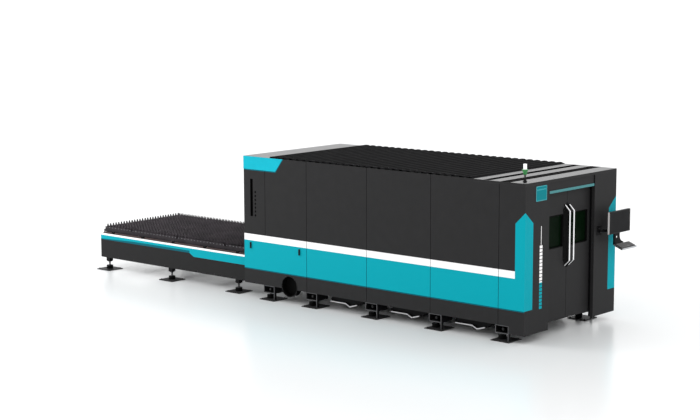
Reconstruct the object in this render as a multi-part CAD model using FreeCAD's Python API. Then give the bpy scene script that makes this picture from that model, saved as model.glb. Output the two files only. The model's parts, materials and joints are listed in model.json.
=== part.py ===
import FreeCAD, Part
import math
import os
from FreeCAD import Vector

# Enclosed fiber laser cutting machine with an exchange table, millimetres, +Z up.
# Modelling frame: x = 0 is the front of the door end, -X runs to the exchange table,
# y = 0 is the cabin's centre line and "near" is the -Y side, z = 0 is the floor.
# At the end every piece moves together so that the origin is the bottom centre of the whole.

# ---- Cabin ----
cabin_length = 5350.0
cabin_width = 2300.0
cabin_top = 2232.0
panel_bottom = 228.0        # lower edge of the side panels
sheet = 3.0                 # sheet metal thickness
fold = 40.0                 # depth of a panel's folded edge
seam = 8.0                  # open seam between two panels
first_bay = 1325.0          # bay at the table end
narrow_panel = 458.0        # upper panel at the table end
cover_top = 1011.0          # top of the access cover in the first bay
bay_count = 3               # full-height bays between the first bay and the pillar
pillar_side = 440.0         # pillar's width on the side face
pillar_toe = 258.0          # length of the pillar's side that reaches down low
pillar_front = 575.0        # pillar's width on the door face
pillar_bottom = 118.0
pillar_return = 78.0        # depth of the reveal beside the doors
portal_margin = 57.0        # pallet opening's edge outside the bed girder's inner face
portal_top = 985.0

# ---- Frame tubes ----
tube = 50.0
tube_wall = 3.0
frame_gap = 2.0             # between a panel's folded edge and the tubes behind it

# ---- Roof ----
slat_pitch = 135.0
slat_rise = 22.0
slat_sheet = 2.0
slat_gap = 6.0
slat_steep_run = 18.0
slat_easy_run = 62.0
end_cap_length = 492.0
strip_lengths = (160.0, 180.0, 60.0, 260.0)   # cross covers, from the middle of the roof to the doors
strip_grooves = (115.0, 55.0, 55.0)           # open grooves between the cross covers
strip_height = 34.0

# ---- Doors ----
door_recess = 90.0          # leaf's face behind the pillar's face
leaf_depth = 45.0
leaf_overlap = 25.0         # leaf's edge hidden behind the pillar
leaf_bottom = 188.0
header_height = 200.0
header_depth = 60.0
header_recess = 14.0        # header's face behind the pillars' faces
light_depth = 10.0          # of the light bar along the header's lower edge
light_height = 38.0
light_chamfer = 4.0
door_travel = 488.0
window_from_split = 103.0
window_width = 416.0
window_below_header = 344.0
window_height = 452.0
glass_thickness = 6.0
glass_setback = 30.0
handle_from_split = 52.0
handle_below_header = 220.0
handle_height = 857.0
handle_bend = 78.0          # height and depth of the handle's slanted ends
handle_radius = 13.0
handle_plate_half = 50.0
handle_plate_thickness = 4.0
hanger_inset = 110.0
tab_thickness = 6.0
tab_height = 60.0
tab_width = 60.0
shoe_width = 50.0
shoe_height = 26.0
rail_above_leaf = 12.0

# ---- Signal lamp ----
lamp_from_front = 84.0
lamp_from_side = 98.0
lamp_base_radius = 33.0
lamp_base_flare = 20.0      # height at which the base is widest
lamp_base_height = 46.0
lamp_foot_radius = 20.0
lamp_stem_radius = 10.0
lamp_stem_height = 114.0
lamp_cone_height = 66.0
lamp_cone_low = 21.0        # radius of the green lens at its lower end
lamp_cone_high = 42.0
lamp_cap_radius = 24.0
lamp_cap_height = 78.0

# ---- Bed, feet and slag drawers ----
bed_margin = 245.0          # from the cabin's side to the inner face of the bed's girder
girder_width = 130.0
girder_bottom = 240.0
girder_top = 860.0
girder_wall = 12.0
crossmember_height = 40.0
crossmember_width = 120.0
end_foot_inset = 520.0      # from the cabin's table end to its last foot
foot_past_seam = 83.0
pillar_foot_inset = 60.0    # from the pillar's rear edge to the foot under it
near_foot_margin = 5.0      # near feet's row outside the girder
far_foot_margin = 15.0      # far feet's row inside the girder's inner face
bracket_width = 225.0
bracket_bottom = 110.0
bracket_wall = 10.0
bracket_front = 100.0       # bracket's open front, outwards from the row of feet
bracket_back = 150.0
bracket_bolt_radius = 12.0
bracket_bolt_length = 205.0
bracket_leg_depth = 48.0    # of the door-side wall where it runs down to the ground plate
ground_plate = 310.0
plate_thickness = 12.0
puck_radius = 46.0
puck_height = 62.0
puck_offset = 62.0          # from the bracket's middle towards the table
puck_chamfer = 6.0
stud_radius = 11.0
drawer_gap = 135.0          # between a drawer's top edge and the bracket beside it
drawer_depth = 120.0        # down to the drawer's shelf
drawer_keel_depth = 160.0   # down to the lowest line of its floor
drawer_shelf_start = 15.0   # from the drawer's table-side top edge
drawer_shelf_end = 380.0    # this and the next two are from its door-side top edge
drawer_keel = 295.0
drawer_rise_end = 155.0
drawer_inset = 69.0         # drawer's end inside the girder's outer face
drawer_travel = 900.0
drawer_sheet = 3.0
drawer_lip = 34.0           # reach of the pull in front of the drawer
drawer_pull_height = 16.0
drawer_flange = 12.0        # width of the flanges that a drawer hangs by
runner_ledge = 10.0
drawer_top_gap = 14.0       # below the bed's crossmembers, so a drawer clears the side panels

# ---- Dust outlet ----
duct_from_end = 962.0
duct_z = 268.0
duct_radius = 160.0
duct_wall = 4.0
duct_clearance = 6.0
port_radius = 112.0         # passage from the collar into the bed's hollow girder

# ---- Latches on the access cover ----
latch_from_edge = 146.0
latch_z = 830.0
latch_length = 98.0
latch_width = 24.0
latch_depth = 16.0
latch_shaft_radius = 8.0
latch_clearance = 0.05

# ---- Slot and holes in the narrow panel ----
slot_from_end = 170.0
slot_above_cover = 281.0
slot_below_top = 352.0
slot_width = 58.0
hole_from_slot = 80.0
hole_count = 7
hole_radius = 19.0
hole_pitch = 61.0

# ---- Exchange table ----
table_gap = 10.0            # between the table and the cabin
table_length = 3600.0
skirt_margin = 95.0         # skirt's face outside the bed girder's inner face
skirt_top = 622.0
skirt_bottom = 205.0
channel_depth = 82.0
channel_bottom = 222.0
channel_wall = 8.0
table_foot_first = 160.0    # from the table's outer end
table_foot_last = 320.0     # from the cabin's end of the table
table_foot_margin = 45.0
table_feet_count = 3
table_bars = 5              # crossmembers
housing_width = 80.0
housing_bottom = 132.0
guide_bar_width = 26.0
guide_bar_height = 13.0
guide_gap = 4.0             # between a guide bar and the pallet's side of the channel
guide_block = (52.0, 32.0, 30.0)
guide_block_overhang = 6.0
guide_first = 240.0         # from the table's outer end
guide_last = 360.0          # from the cabin's end of the table
guide_count = 5

# ---- Pallets and their rails ----
pallet_length = 3450.0
pallet_margin = 40.0        # between the pallet and the bed girder's inner face
pallet_overhang = 70.0      # pallet's end past the table's end
pallet_travel = 4000.0
level_drop = 270.0          # from the upper pallet's level to the lower one's
rail_lift = 6.7             # lower rails' packing above the bed's crossmembers
wheel_radius = 35.0
wheel_width = 20.0
wheel_count = 5
wheel_gap = 3.0
rail_clearance = 0.3
pallet_tube_height = 80.0
pallet_tube_width = 50.0
pallet_tube_below = 15.0    # from the wheel centre down to the tube's underside
pallet_crossbars = 5
slat_height = 95.0
slat_thickness = 4.0
slat_count = 45
slat_seat = 8.0             # slat's lower edge below the tube's top
slat_margin = 70.0          # from the pallet's end to the first slat
tooth_count = 28
tooth_depth = 36.0
strip_thickness = 4.0       # side strips that the slats' ends stand behind
strip_rise = 52.0
lift_slots = 3
lift_slot_pitch = 1125.0
lift_slot_first = 730.0
lift_slot_width = 84.0
lift_slot_sill = 20.0
rail_flange = 40.0
rail_thickness = 8.0
rail_fence = 50.0           # height of a rail's upright leg
shaft_radius = 20.0
shaft_from_end = 120.0
shaft_z = 517.0
sprocket_radius = 60.0
sprocket_width = 14.0
bearing_clearance = 0.05
motor_case = (110.0, 100.0, 104.0)
motor_radius = 46.0
motor_length = 190.0

# ---- Gantry ----
gantry_park = 1250.0        # from the door end to the parked gantry
gantry_end_gap = 900.0
beam_depth = 200.0
beam_bottom = 962.0
beam_height = 220.0
beam_wall = 10.0
x_rail_width = 34.0
x_rail_height = 34.0
truck_length = 320.0
truck_width = 78.0
truck_end = 60.0            # beam's end past its guides, and the rails' ends past the last post
beam_guide_width = 16.0
beam_guide_height = 24.0
beam_guide_inset = 30.0
carriage_width = 280.0
carriage_plate = 46.0       # depth of the carriage's plate
carriage_below = 20.0
carriage_above = 60.0
ram_channel = (90.0, 180.0) # outer size of the channel that the ram runs in
ram_channel_wall = 6.0
ram_channel_rise = 190.0
ram_rise = 150.0
carriage_travel = 720.0
slide_clearance = 0.5
z_travel = 185.0
head_radius = 38.0
nozzle_tip = 948.0
nozzle_height = 22.0
nozzle_radius = 14.0
neck_height = 40.0
neck_radius = 30.0
barrel_height = 96.0
head_collar_height = 14.0

# ---- Operator console ----
console_pivot_from_side = 450.0
console_pivot_x = 34.0
console_z = 1372.0
arm_reach = 150.0
arm_angle = 50.0            # from +X towards +Y
arm_height = 44.0
arm_width = 46.0
console_pin_radius = 12.0
pin_clearance = 0.05
monitor_width = 560.0
monitor_height = 325.0
monitor_depth = 36.0
monitor_bottom = 1330.0
monitor_from_side = 210.0   # monitor's middle, from the cabin's far side
monitor_rim = 16.0
screen_depth = 2.0
monitor_face_x = 202.0
monitor_hinge_z = 1420.0
hinge_radius = 10.0
hinge_pin_radius = 6.0
hinge_half = 26.0           # half width of the monitor's hinge knuckle
hinge_ear = 10.0            # thickness of each of the tilt hinge's ears
hinge_ear_gap = 1.0
post_thickness = 28.0
carrier_sheet = 6.0
carrier_gap = 4.5           # between the carrier and the tilt hinge
carrier_width = 138.0
carrier_from_middle = 35.0  # carrier's near edge, from the monitor's middle
carrier_top = 1455.0
carrier_below_tray = 30.0
flare_radius = 100.0        # of the hollow curve beside the carrier's foot
foot_width = 70.0
fork_lap = 14.0             # fork's reach past the carrier's near edge
cable_hole_z = 1260.0
cable_hole_from_edge = 58.0
cable_hole_radius = 15.0
tray_width = 396.0
tray_length = 150.0
tray_thickness = 14.0
tray_tilt = 21.0
tray_back_x = 222.0
tray_back_z = 1176.0
tray_from_side = 195.0
tray_rim_thickness = 6.0
tray_rim_height = 10.0

# ---- Sizes and places that follow from the ones above ----
half_width = cabin_width / 2
bay = (cabin_length - first_bay - pillar_side) / bay_count
bay_seams = [-cabin_length + first_bay + bay * index for index in range(bay_count)]
table_start = -cabin_length - table_gap
table_end = table_start - table_length
bed_half = half_width - bed_margin
bed_outer = bed_half + girder_width
portal_half = bed_half + portal_margin
skirt_half = bed_half + skirt_margin
pallet_half = bed_half - pallet_margin
pallet_outer_end = table_end - pallet_overhang
gantry_x = -gantry_park
gantry_travel = cabin_length - gantry_park - gantry_end_gap
frame_outer = half_width - fold - frame_gap
frame_inner = frame_outer - tube
leaf_width = half_width - pillar_front + leaf_overlap
header_bottom = cabin_top - header_height
leaf_top = header_bottom + leaf_overlap
window_bottom = header_bottom - window_below_header - window_height
handle_top = header_bottom - handle_below_header
handle_bottom = handle_top - handle_height
leaf_face = -door_recess
leaf_back = leaf_face - leaf_depth
door_rail_x = leaf_back + 35
shoe_bottom = leaf_top + rail_above_leaf + tab_thickness
slat_zone_end = -sum(strip_lengths) - sum(strip_grooves)
post_front = leaf_back - tube - frame_gap
bracket_top = panel_bottom - frame_gap
drawer_top = girder_bottom - drawer_top_gap
upper_wheel_centre = (girder_bottom + crossmember_height + rail_lift + rail_thickness
                      + rail_clearance + wheel_radius + level_drop)
drawer_shelf = drawer_top - drawer_depth
drawer_low = drawer_top - drawer_keel_depth
drawer_reach = bed_outer - drawer_inset
drawer_top_length = bay - bracket_width - 2 * drawer_gap
cabin_feet = ([-cabin_length + end_foot_inset] + [x + foot_past_seam for x in bay_seams]
              + [-pillar_side + pillar_foot_inset])
near_foot_row = -(bed_outer + near_foot_margin)
far_foot_row = bed_half - far_foot_margin
table_foot_row = bed_half + table_foot_margin
duct_x = -cabin_length + duct_from_end
slot_bottom = cover_top + slot_above_cover
slot_top = cabin_top - slot_below_top
lamp_x = -lamp_from_front
lamp_y = -half_width + lamp_from_side
console_pivot_y = half_width - console_pivot_from_side
monitor_centre_y = half_width - monitor_from_side
tray_centre_y = half_width - tray_from_side
parts = {}


def block(x0, x1, y0, y1, z0, z1):
    return Part.makeBox(x1 - x0, y1 - y0, z1 - z0, Vector(x0, y0, z0))


def rod(x, y, z, radius, length, direction):
    return Part.makeCylinder(radius, length, Vector(x, y, z), direction)


def prism(points, sweep):
    corners = [Vector(*point) for point in points]
    return Part.Face(Part.makePolygon(corners + corners[:1])).extrude(sweep)


def join(pieces):
    whole = pieces[0]
    for piece in pieces[1:]:
        whole = whole.fuse(piece)
    return whole.removeSplitter()


def group(pieces):
    solids = []
    for piece in pieces:
        solids.extend(piece.Solids)
    return Part.makeCompound(solids)


def across(shape):
    return shape.mirror(Vector(0, 0, 0), Vector(0, 1, 0))


def spread(first, pitch, count):
    return [first + pitch * index for index in range(count)]


def square_tube(x0, x1, y0, y1, z0, z1, axis, wall):
    # A square or oblong tube, open at both ends along the named axis.
    cut = dict(X=[0, wall, wall], Y=[wall, 0, wall], Z=[wall, wall, 0])[axis]
    outer = block(x0, x1, y0, y1, z0, z1)
    inner = block(x0 + cut[0], x1 - cut[0], y0 + cut[1], y1 - cut[1], z0 + cut[2], z1 - cut[2])
    return outer.cut(inner)


def side_panel(x0, x1, z0, z1):
    # A sheet with its four edges folded inwards, half a seam short at each end.
    x0, x1 = x0 + seam / 2, x1 - seam / 2
    outer = block(x0, x1, -half_width, -half_width + fold, z0, z1)
    hollow = block(x0 + sheet, x1 - sheet, -half_width + sheet, -half_width + fold,
                   z0 + sheet, z1 - sheet)
    return outer.cut(hollow)


def latch_places():
    first = -cabin_length + latch_from_edge
    last = -cabin_length + first_bay - latch_from_edge
    return [first, last]


def narrow_upper_panel():
    panel = side_panel(-cabin_length, -cabin_length + narrow_panel, cover_top + seam, cabin_top)
    slot_x = -cabin_length + slot_from_end
    slot = block(slot_x - slot_width / 2, slot_x + slot_width / 2,
                 -half_width, -half_width + sheet, slot_bottom, slot_top)
    holes = [rod(slot_x + hole_from_slot, -half_width, z, hole_radius, sheet, Vector(0, 1, 0))
             for z in spread(slot_bottom + hole_radius, hole_pitch, hole_count)]
    return panel.cut(slot).cut(Part.makeCompound(holes))


def access_cover():
    cover = side_panel(-cabin_length, -cabin_length + first_bay, panel_bottom, cover_top)
    notch = rod(duct_x, -half_width, duct_z, duct_radius + duct_clearance, fold, Vector(0, 1, 0))
    below = block(duct_x - duct_radius - duct_clearance, duct_x + duct_radius + duct_clearance,
                  -half_width, -half_width + fold, panel_bottom - 1, duct_z)
    bores = [rod(x, -half_width, latch_z, latch_shaft_radius + latch_clearance, sheet, Vector(0, 1, 0))
             for x in latch_places()]
    return cover.cut(notch).cut(below).cut(Part.makeCompound(bores))


def cover_latch(x):
    # A quarter-turn latch: a bar outside, a shaft through the cover and a tongue behind it.
    bar = block(x - latch_width / 2, x + latch_width / 2,
                -half_width - latch_depth, -half_width - slide_clearance,
                latch_z - latch_length / 2, latch_z + latch_length / 2)
    depth = latch_depth - slide_clearance
    bar = bar.makeFillet(latch_width / 3, [edge for edge in bar.Edges
                                          if abs(edge.BoundBox.YLength - depth) < 0.1])
    shaft = rod(x, -half_width - slide_clearance, latch_z, latch_shaft_radius,
                fold / 2, Vector(0, 1, 0))
    tongue = block(x - latch_width / 2, x + latch_width / 2,
                   -half_width + fold / 2 - slide_clearance - sheet, -half_width + fold / 2 - slide_clearance,
                   latch_z - latch_shaft_radius, latch_z + latch_length / 2)
    return join([bar, shaft, tongue])


def side_cladding():
    end = -cabin_length
    parts["near_upper_panel_1"] = narrow_upper_panel()
    parts["near_upper_panel_2"] = side_panel(end + narrow_panel, end + first_bay,
                                             cover_top + seam, cabin_top)
    parts["near_access_cover"] = access_cover()
    for number, latch_x in enumerate(latch_places(), 1):
        parts[f"cover_latch_{number}"] = cover_latch(latch_x)
    for number in range(bay_count):
        x0 = end + first_bay + bay * number
        parts[f"near_panel_{number + 3}"] = side_panel(x0, x0 + bay, panel_bottom, cabin_top)
    far = [side_panel(end, end + first_bay, panel_bottom, cabin_top)]
    for x0 in spread(end + first_bay, bay, bay_count):
        far.append(side_panel(x0, x0 + bay, panel_bottom, cabin_top))
    parts["far_side_panels"] = group([across(panel) for panel in far])


def pillar():
    # One folded sheet: door face, side face with a deeper toe, and the reveal beside the doors.
    inner = -half_width + pillar_front
    back = -pillar_side + seam / 2
    front = block(-sheet, 0, -half_width, inner, pillar_bottom, cabin_top)
    reveal = block(-pillar_return, 0, inner - sheet, inner, pillar_bottom, cabin_top)
    side = block(back, 0, -half_width, -half_width + sheet, panel_bottom, cabin_top)
    toe = block(-pillar_toe, 0, -half_width, -half_width + sheet, pillar_bottom, cabin_top)
    edge = block(back, back + sheet, -half_width, -half_width + fold, panel_bottom, cabin_top)
    return join([front, reveal, side, toe, edge])


def header():
    # A folded tray over the doors, with a flange forward to the front cover's lip.
    half = half_width - pillar_front - seam / 2
    back, face = -header_recess - header_depth, -header_recess
    outer = block(back, face, -half, half, header_bottom, cabin_top)
    hollow = block(back, face - sheet, -half + sheet, half - sheet,
                   header_bottom + sheet, cabin_top - sheet)
    flange_top = cabin_top - strip_height
    flange = block(face - sheet, 0, -half, half, flange_top - sheet, flange_top)
    return join([outer.cut(hollow), flange])


def lintel_light():
    half = half_width - pillar_front - seam
    front = light_depth - header_recess
    bar = block(-header_recess, front, -half, half, header_bottom, header_bottom + light_height)
    return bar.makeChamfer(light_chamfer, [edge for edge in bar.Edges
                                           if abs(edge.BoundBox.XMin - front) < 0.01])


def rear_portal():
    # Folded end wall with the opening that the pallets pass through.
    outer = block(-cabin_length, -cabin_length + fold, -half_width + fold + seam,
                  half_width - fold - seam, panel_bottom, cabin_top)
    hollow = block(-cabin_length + sheet, -cabin_length + fold, -half_width + fold + seam + sheet,
                   half_width - fold - seam - sheet, panel_bottom + sheet, cabin_top - sheet)
    opening = block(-cabin_length - 1, -cabin_length + fold, -portal_half, portal_half,
                    panel_bottom - 1, portal_top)
    lip = square_tube(-cabin_length, -cabin_length + fold, -portal_half - sheet, portal_half + sheet,
                      panel_bottom, portal_top + sheet, "X", sheet)
    sill = block(-cabin_length, -cabin_length + fold, -portal_half, portal_half,
                 panel_bottom, panel_bottom + sheet)
    return outer.cut(hollow).cut(opening).fuse(lip).cut(sill).removeSplitter()


def post_places():
    rear = -cabin_length + fold + frame_gap + tube / 2
    seams = bay_seams + [-pillar_side + tube / 2]
    middles = [(rear + seams[0]) / 2] + [x + bay / 2 for x in seams[:-2]]
    middles.append((seams[-2] + seams[-1]) / 2)
    return [rear] + middles + seams + [post_front + tube / 2]


def frame_bars(inset):
    # The side frame's rails and posts as solid bars; with an inset, the hollows inside them.
    rear = -cabin_length + fold + frame_gap
    front = post_front + tube
    low = girder_bottom
    high = frame_high()
    past = 1 if inset else 0
    bars = []
    for z0 in (low, cover_top - tube / 2, high - tube):
        bars.append(block(rear + inset, front - inset, -frame_outer + inset, -frame_inner - inset,
                          z0 + inset, z0 + tube - inset))
    for x in post_places():
        bars.append(block(x - tube / 2 + inset, x + tube / 2 - inset, -frame_outer + inset,
                          -frame_inner - inset, low - past, high + past))
    return join(bars)


def frame_high():
    return cabin_top - strip_height - frame_gap


def side_frame():
    frame = frame_bars(0).cut(frame_bars(tube_wall))
    return frame.cut(rod(duct_x, -frame_outer, duct_z, duct_radius + duct_clearance,
                         tube, Vector(0, 1, 0)))


def roof_frame():
    high = frame_high()
    count = 8
    first = -cabin_length + fold + frame_gap
    pitch = (post_front - first) / (count - 1)
    bars = [square_tube(x, x + tube, -frame_inner, frame_inner, high - tube, high, "Y", tube_wall)
            for x in spread(first, pitch, count)]
    return group(bars)


def roof_slat(x0):
    # A folded slat: a low ridge, steep on one side and easy on the other, that stands on the top edges.
    top = cabin_top + slat_rise
    half = (slat_pitch - slat_gap) / 2
    steep, easy = -half + slat_steep_run, half - slat_easy_run
    steep_wall = slat_sheet * math.hypot(slat_steep_run, slat_rise) / slat_rise
    easy_wall = slat_sheet * math.hypot(slat_easy_run, slat_rise) / slat_rise
    outline = [(-half, cabin_top), (steep, top), (easy, top), (half, cabin_top),
               (half - easy_wall, cabin_top), (easy - slat_sheet / 3, top - slat_sheet),
               (steep + slat_sheet / 3, top - slat_sheet), (-half + steep_wall, cabin_top)]
    middle = x0 + slat_pitch / 2
    points = [(middle + x, -half_width + seam, z) for x, z in outline]
    return prism(points, Vector(0, cabin_width - 2 * seam, 0))


def roof():
    first = -cabin_length + end_cap_length
    count = int(round((slat_zone_end - first) / slat_pitch))
    start = slat_zone_end - count * slat_pitch
    high = cabin_top - strip_height
    parts["roof_slats"] = group([roof_slat(x) for x in spread(start, slat_pitch, count)])
    covers = [(-cabin_length, start)]
    x = slat_zone_end
    for length, groove in zip(strip_lengths, strip_grooves + (0,)):
        covers.append((x, x + length))
        x = x + length + groove
    shells = []
    for x0, x1 in covers:
        outer = block(x0, x1, -half_width, half_width, high, cabin_top)
        hollow = block(x0 + sheet, x1 - sheet, -half_width + sheet, half_width - sheet,
                       high, cabin_top - sheet)
        shells.append(outer.cut(hollow))
    return shells


def trim_under_roof(names, covers):
    # The cross covers wrap over the cabin's top edge, so what stands under them is that much lower.
    band = group([block(c.BoundBox.XMin - 1, c.BoundBox.XMax + 1, -half_width - 1, half_width + 1,
                        cabin_top - strip_height, cabin_top + 1) for c in covers])
    for name in names:
        trimmed = parts[name].cut(band)
        parts[name] = trimmed if len(trimmed.Solids) == 1 else group([trimmed])


def door_leaf():
    # Near leaf: a folded tray with a window opening, a raised handle plate, and two tabs whose
    # glide shoes run on the door rail's ledge.
    y0, y1 = -leaf_width, -seam / 2
    outer = block(leaf_back, leaf_face, y0, y1, leaf_bottom, leaf_top)
    hollow = block(leaf_back, leaf_face - sheet, y0 + sheet, y1 - sheet,
                   leaf_bottom + sheet, leaf_top - sheet)
    window = window_block(leaf_back, leaf_face, 0)
    lining = window_block(leaf_back, leaf_face, sheet)
    plate_low, plate_high = handle_bottom - handle_bend / 2, handle_top + handle_bend / 2
    outline = [(leaf_face, y1, plate_low), (leaf_face, y1 - handle_plate_half, plate_low + handle_bend / 2),
               (leaf_face, y1 - handle_plate_half, plate_high - handle_bend / 2), (leaf_face, y1, plate_high)]
    plate = prism(outline, Vector(handle_plate_thickness, 0, 0))
    tabs = []
    for y in (y0 + hanger_inset, y1 - hanger_inset):
        tabs.append(block(leaf_back, leaf_back + tab_thickness, y - tab_width / 2, y + tab_width / 2,
                          leaf_top - sheet, leaf_top + tab_height))
        tabs.append(block(leaf_back, door_rail_x - slide_clearance, y - shoe_width / 2,
                          y + shoe_width / 2, shoe_bottom, shoe_bottom + shoe_height))
    return join([outer.cut(hollow).fuse(lining).cut(window), plate] + tabs)


def window_block(x0, x1, grow):
    y1 = -window_from_split + grow
    y0 = -window_from_split - window_width - grow
    return block(x0, x1, y0, y1, window_bottom - grow, window_bottom + window_height + grow)


def door_glass():
    x0 = leaf_face - glass_setback - glass_thickness
    return window_block(x0, x0 + glass_thickness, 0)


def door_handle():
    # A bent bar: straight grip in front, slanted ends that run back to the leaf.
    y = -handle_from_split
    foot = leaf_face + handle_plate_thickness
    grip = foot + handle_bend
    ends = [Vector(foot, y, handle_bottom), Vector(grip, y, handle_bottom + handle_bend),
            Vector(grip, y, handle_top - handle_bend), Vector(foot, y, handle_top)]
    bars = []
    for start, end in zip(ends, ends[1:]):
        run = end - start
        bars.append(Part.makeCylinder(handle_radius, run.Length, start, run))
    knees = [Part.makeSphere(handle_radius, point) for point in ends[1:3]]
    behind = block(foot - 4 * handle_radius, foot, y - 3 * handle_radius, y + 3 * handle_radius,
                   handle_bottom - 3 * handle_radius, handle_top + 3 * handle_radius)
    return join(bars + knees).cut(behind)


def doors():
    near = dict(door_leaf=door_leaf(), door_glass=door_glass(), door_handle=door_handle())
    for name, shape in near.items():
        parts[name + "_near"] = shape
        parts[name + "_far"] = across(shape)
    half = half_width - sheet - 2 * seam
    web = block(door_rail_x, door_rail_x + tab_thickness, -half, half,
                leaf_top + rail_above_leaf, cabin_top - sheet)
    ledge = block(leaf_back + tab_thickness + seam, door_rail_x, -half, half,
                  leaf_top + rail_above_leaf, shoe_bottom - slide_clearance)
    parts["door_rail"] = join([web, ledge])


def signal_lamp():
    # A double-cone base, a thin stem, a green lens that widens upwards and a white cap.
    def cone(low, high, z, height):
        return Part.makeCone(low, high, height, Vector(lamp_x, lamp_y, z), Vector(0, 0, 1))

    flare = cabin_top + lamp_base_flare
    green_low = cabin_top + lamp_stem_height
    green_high = green_low + lamp_cone_height
    base = cone(lamp_foot_radius, lamp_base_radius, cabin_top, lamp_base_flare)
    neck = cone(lamp_base_radius, lamp_stem_radius, flare, lamp_base_height - lamp_base_flare)
    stem = rod(lamp_x, lamp_y, flare, lamp_stem_radius, green_low - flare, Vector(0, 0, 1))
    parts["signal_lamp_base"] = join([base, neck, stem])
    parts["signal_lamp_green"] = cone(lamp_cone_low, lamp_cone_high, green_low, lamp_cone_height)
    cap = rod(lamp_x, lamp_y, green_high, lamp_cap_radius, lamp_cap_height, Vector(0, 0, 1))
    parts["signal_lamp_white"] = cap.makeFillet(lamp_cap_radius / 5, [cap.Edges[0]])


def foot_bracket(x, row):
    # An open box under the bed, closed at the back, with a pad up to the girder. The front of its
    # door-side wall runs on down to the ground plate. A far bracket is a near one turned over.
    if row > 0:
        return across(foot_bracket(x, -row))
    x0, x1 = x - bracket_width / 2, x + bracket_width / 2
    y0, y1 = row - bracket_front, row + bracket_back
    outer = block(x0, x1, y0, y1, bracket_bottom, bracket_top)
    inside = block(x0 + bracket_wall, x1 - bracket_wall, y0, y1 - bracket_wall,
                   bracket_bottom + bracket_wall, bracket_top - bracket_wall)
    pad = block(x0, x1, max(y0, -frame_outer), y1, bracket_top, girder_bottom)
    leg = block(x1 - bracket_wall, x1, y0, y0 + bracket_leg_depth, plate_thickness, bracket_bottom)
    bolt = rod(x, y1 - bracket_wall, (bracket_bottom + bracket_top) / 2, bracket_bolt_radius,
               bracket_bolt_length, Vector(0, -1, 0))
    return join([outer.cut(inside), pad, leg, bolt])


def levelling_foot(x, y, stud_end):
    puck = rod(x, y, plate_thickness, puck_radius, puck_height, Vector(0, 0, 1))
    puck = puck.makeChamfer(puck_chamfer, [puck.Edges[0]])
    stud = rod(x, y, plate_thickness, stud_radius, stud_end - plate_thickness, Vector(0, 0, 1))
    return join([puck, stud])


def feet():
    rows = (near_foot_row, far_foot_row)
    cabin = [(x, row) for x in cabin_feet for row in rows]
    table = [(x, row) for x in table_feet() for row in (-table_foot_row, table_foot_row)]
    half = ground_plate / 2
    plates = [block(x - half, x + half, y - half, y + half, 0, plate_thickness)
              for x, y in cabin + table]
    studs = [levelling_foot(x - puck_offset, y, bracket_bottom) for x, y in cabin]
    studs += [levelling_foot(x, y, housing_bottom) for x, y in table]
    parts["ground_plates"] = group(plates)
    parts["levelling_feet"] = group(studs)
    parts["foot_brackets"] = group([foot_bracket(x, row) for x, row in cabin])


def table_feet():
    first = table_end + table_foot_first
    pitch = (table_length - table_foot_first - table_foot_last) / (table_feet_count - 1)
    return spread(first, pitch, table_feet_count)


def bed():
    end = -cabin_length + fold + frame_gap
    front = post_front - frame_gap
    girder = square_tube(end, front, -bed_outer, -bed_half, girder_bottom, girder_top, "X", girder_wall)
    far = across(girder)
    port = dust_port(-bed_outer, girder_wall)
    bars = []
    for x in cabin_feet:
        bars.append(block(x - crossmember_width / 2, x + crossmember_width / 2, -bed_half, bed_half,
                          girder_bottom, girder_bottom + crossmember_height))
    for x in drawer_places():
        bars += drawer_runners(x, bed_outer)
    parts["bed_frame"] = join([girder.cut(port), far] + bars)


def drawer_places():
    return [(x0 + x1) / 2 for x0, x1 in zip(cabin_feet[1:], cabin_feet[2:])]


def drawer_runners(x, reach):
    # Two angles under the girders; a drawer's flanges slide on their ledges.
    runners = []
    for side in (-1, 1):
        wall = x + side * (drawer_top_length / 2 + drawer_flange + seam)
        ledge = x + side * (drawer_top_length / 2 + seam / 2)
        top = drawer_top - drawer_sheet - slide_clearance
        outer_wall = wall + side * drawer_sheet * 2
        runners.append(block(min(wall, outer_wall), max(wall, outer_wall), -reach, reach,
                             top - runner_ledge, girder_bottom))
        runners.append(block(min(wall, ledge), max(wall, ledge), -reach, reach, top - runner_ledge, top))
    return runners


def dust_port(y, depth):
    # The part of a round hole that lies above the girder's floor.
    hole = rod(duct_x, y, duct_z + 2 * girder_wall, port_radius, depth, Vector(0, 1, 0))
    return hole.common(block(duct_x - duct_radius, duct_x + duct_radius, y, y + depth,
                             girder_bottom + 2 * girder_wall, girder_top))


def dust_collar():
    # A round collar, closed at its inner end except for the port into the girder.
    start = -half_width
    end = -bed_outer
    collar = rod(duct_x, start, duct_z, duct_radius, end - start, Vector(0, 1, 0))
    bore = rod(duct_x, start, duct_z, duct_radius - duct_wall, end - start - duct_wall, Vector(0, 1, 0))
    return collar.cut(bore).cut(dust_port(end - duct_wall, duct_wall))


def drawer_floor(x, lift):
    # The drawer's lower outline: a level shelf, a steeper fall to the keel and a rise from it.
    half = drawer_top_length / 2
    return [(x - half + drawer_shelf_start, drawer_shelf + lift),
            (x + half - drawer_shelf_end, drawer_shelf + lift),
            (x + half - drawer_keel, drawer_low + lift),
            (x + half - drawer_rise_end, drawer_shelf + lift)]


def drawer_section(x, y0, y1, inset):
    half = drawer_top_length / 2 - inset
    (shelf_x, shelf_z), *rest = drawer_floor(x, inset)
    outline = [(x - half, drawer_top + inset), (shelf_x + inset, shelf_z)] + rest
    outline.append((x + half, drawer_top + inset))
    return prism([(px, y0, pz) for px, pz in outline], Vector(0, y1 - y0, 0))


def drawer_strip(x, y0, y1, height):
    low = drawer_floor(x, 0)
    outline = low + drawer_floor(x, height)[::-1]
    return prism([(px, y0, pz) for px, pz in outline], Vector(0, y1 - y0, 0))


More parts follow.
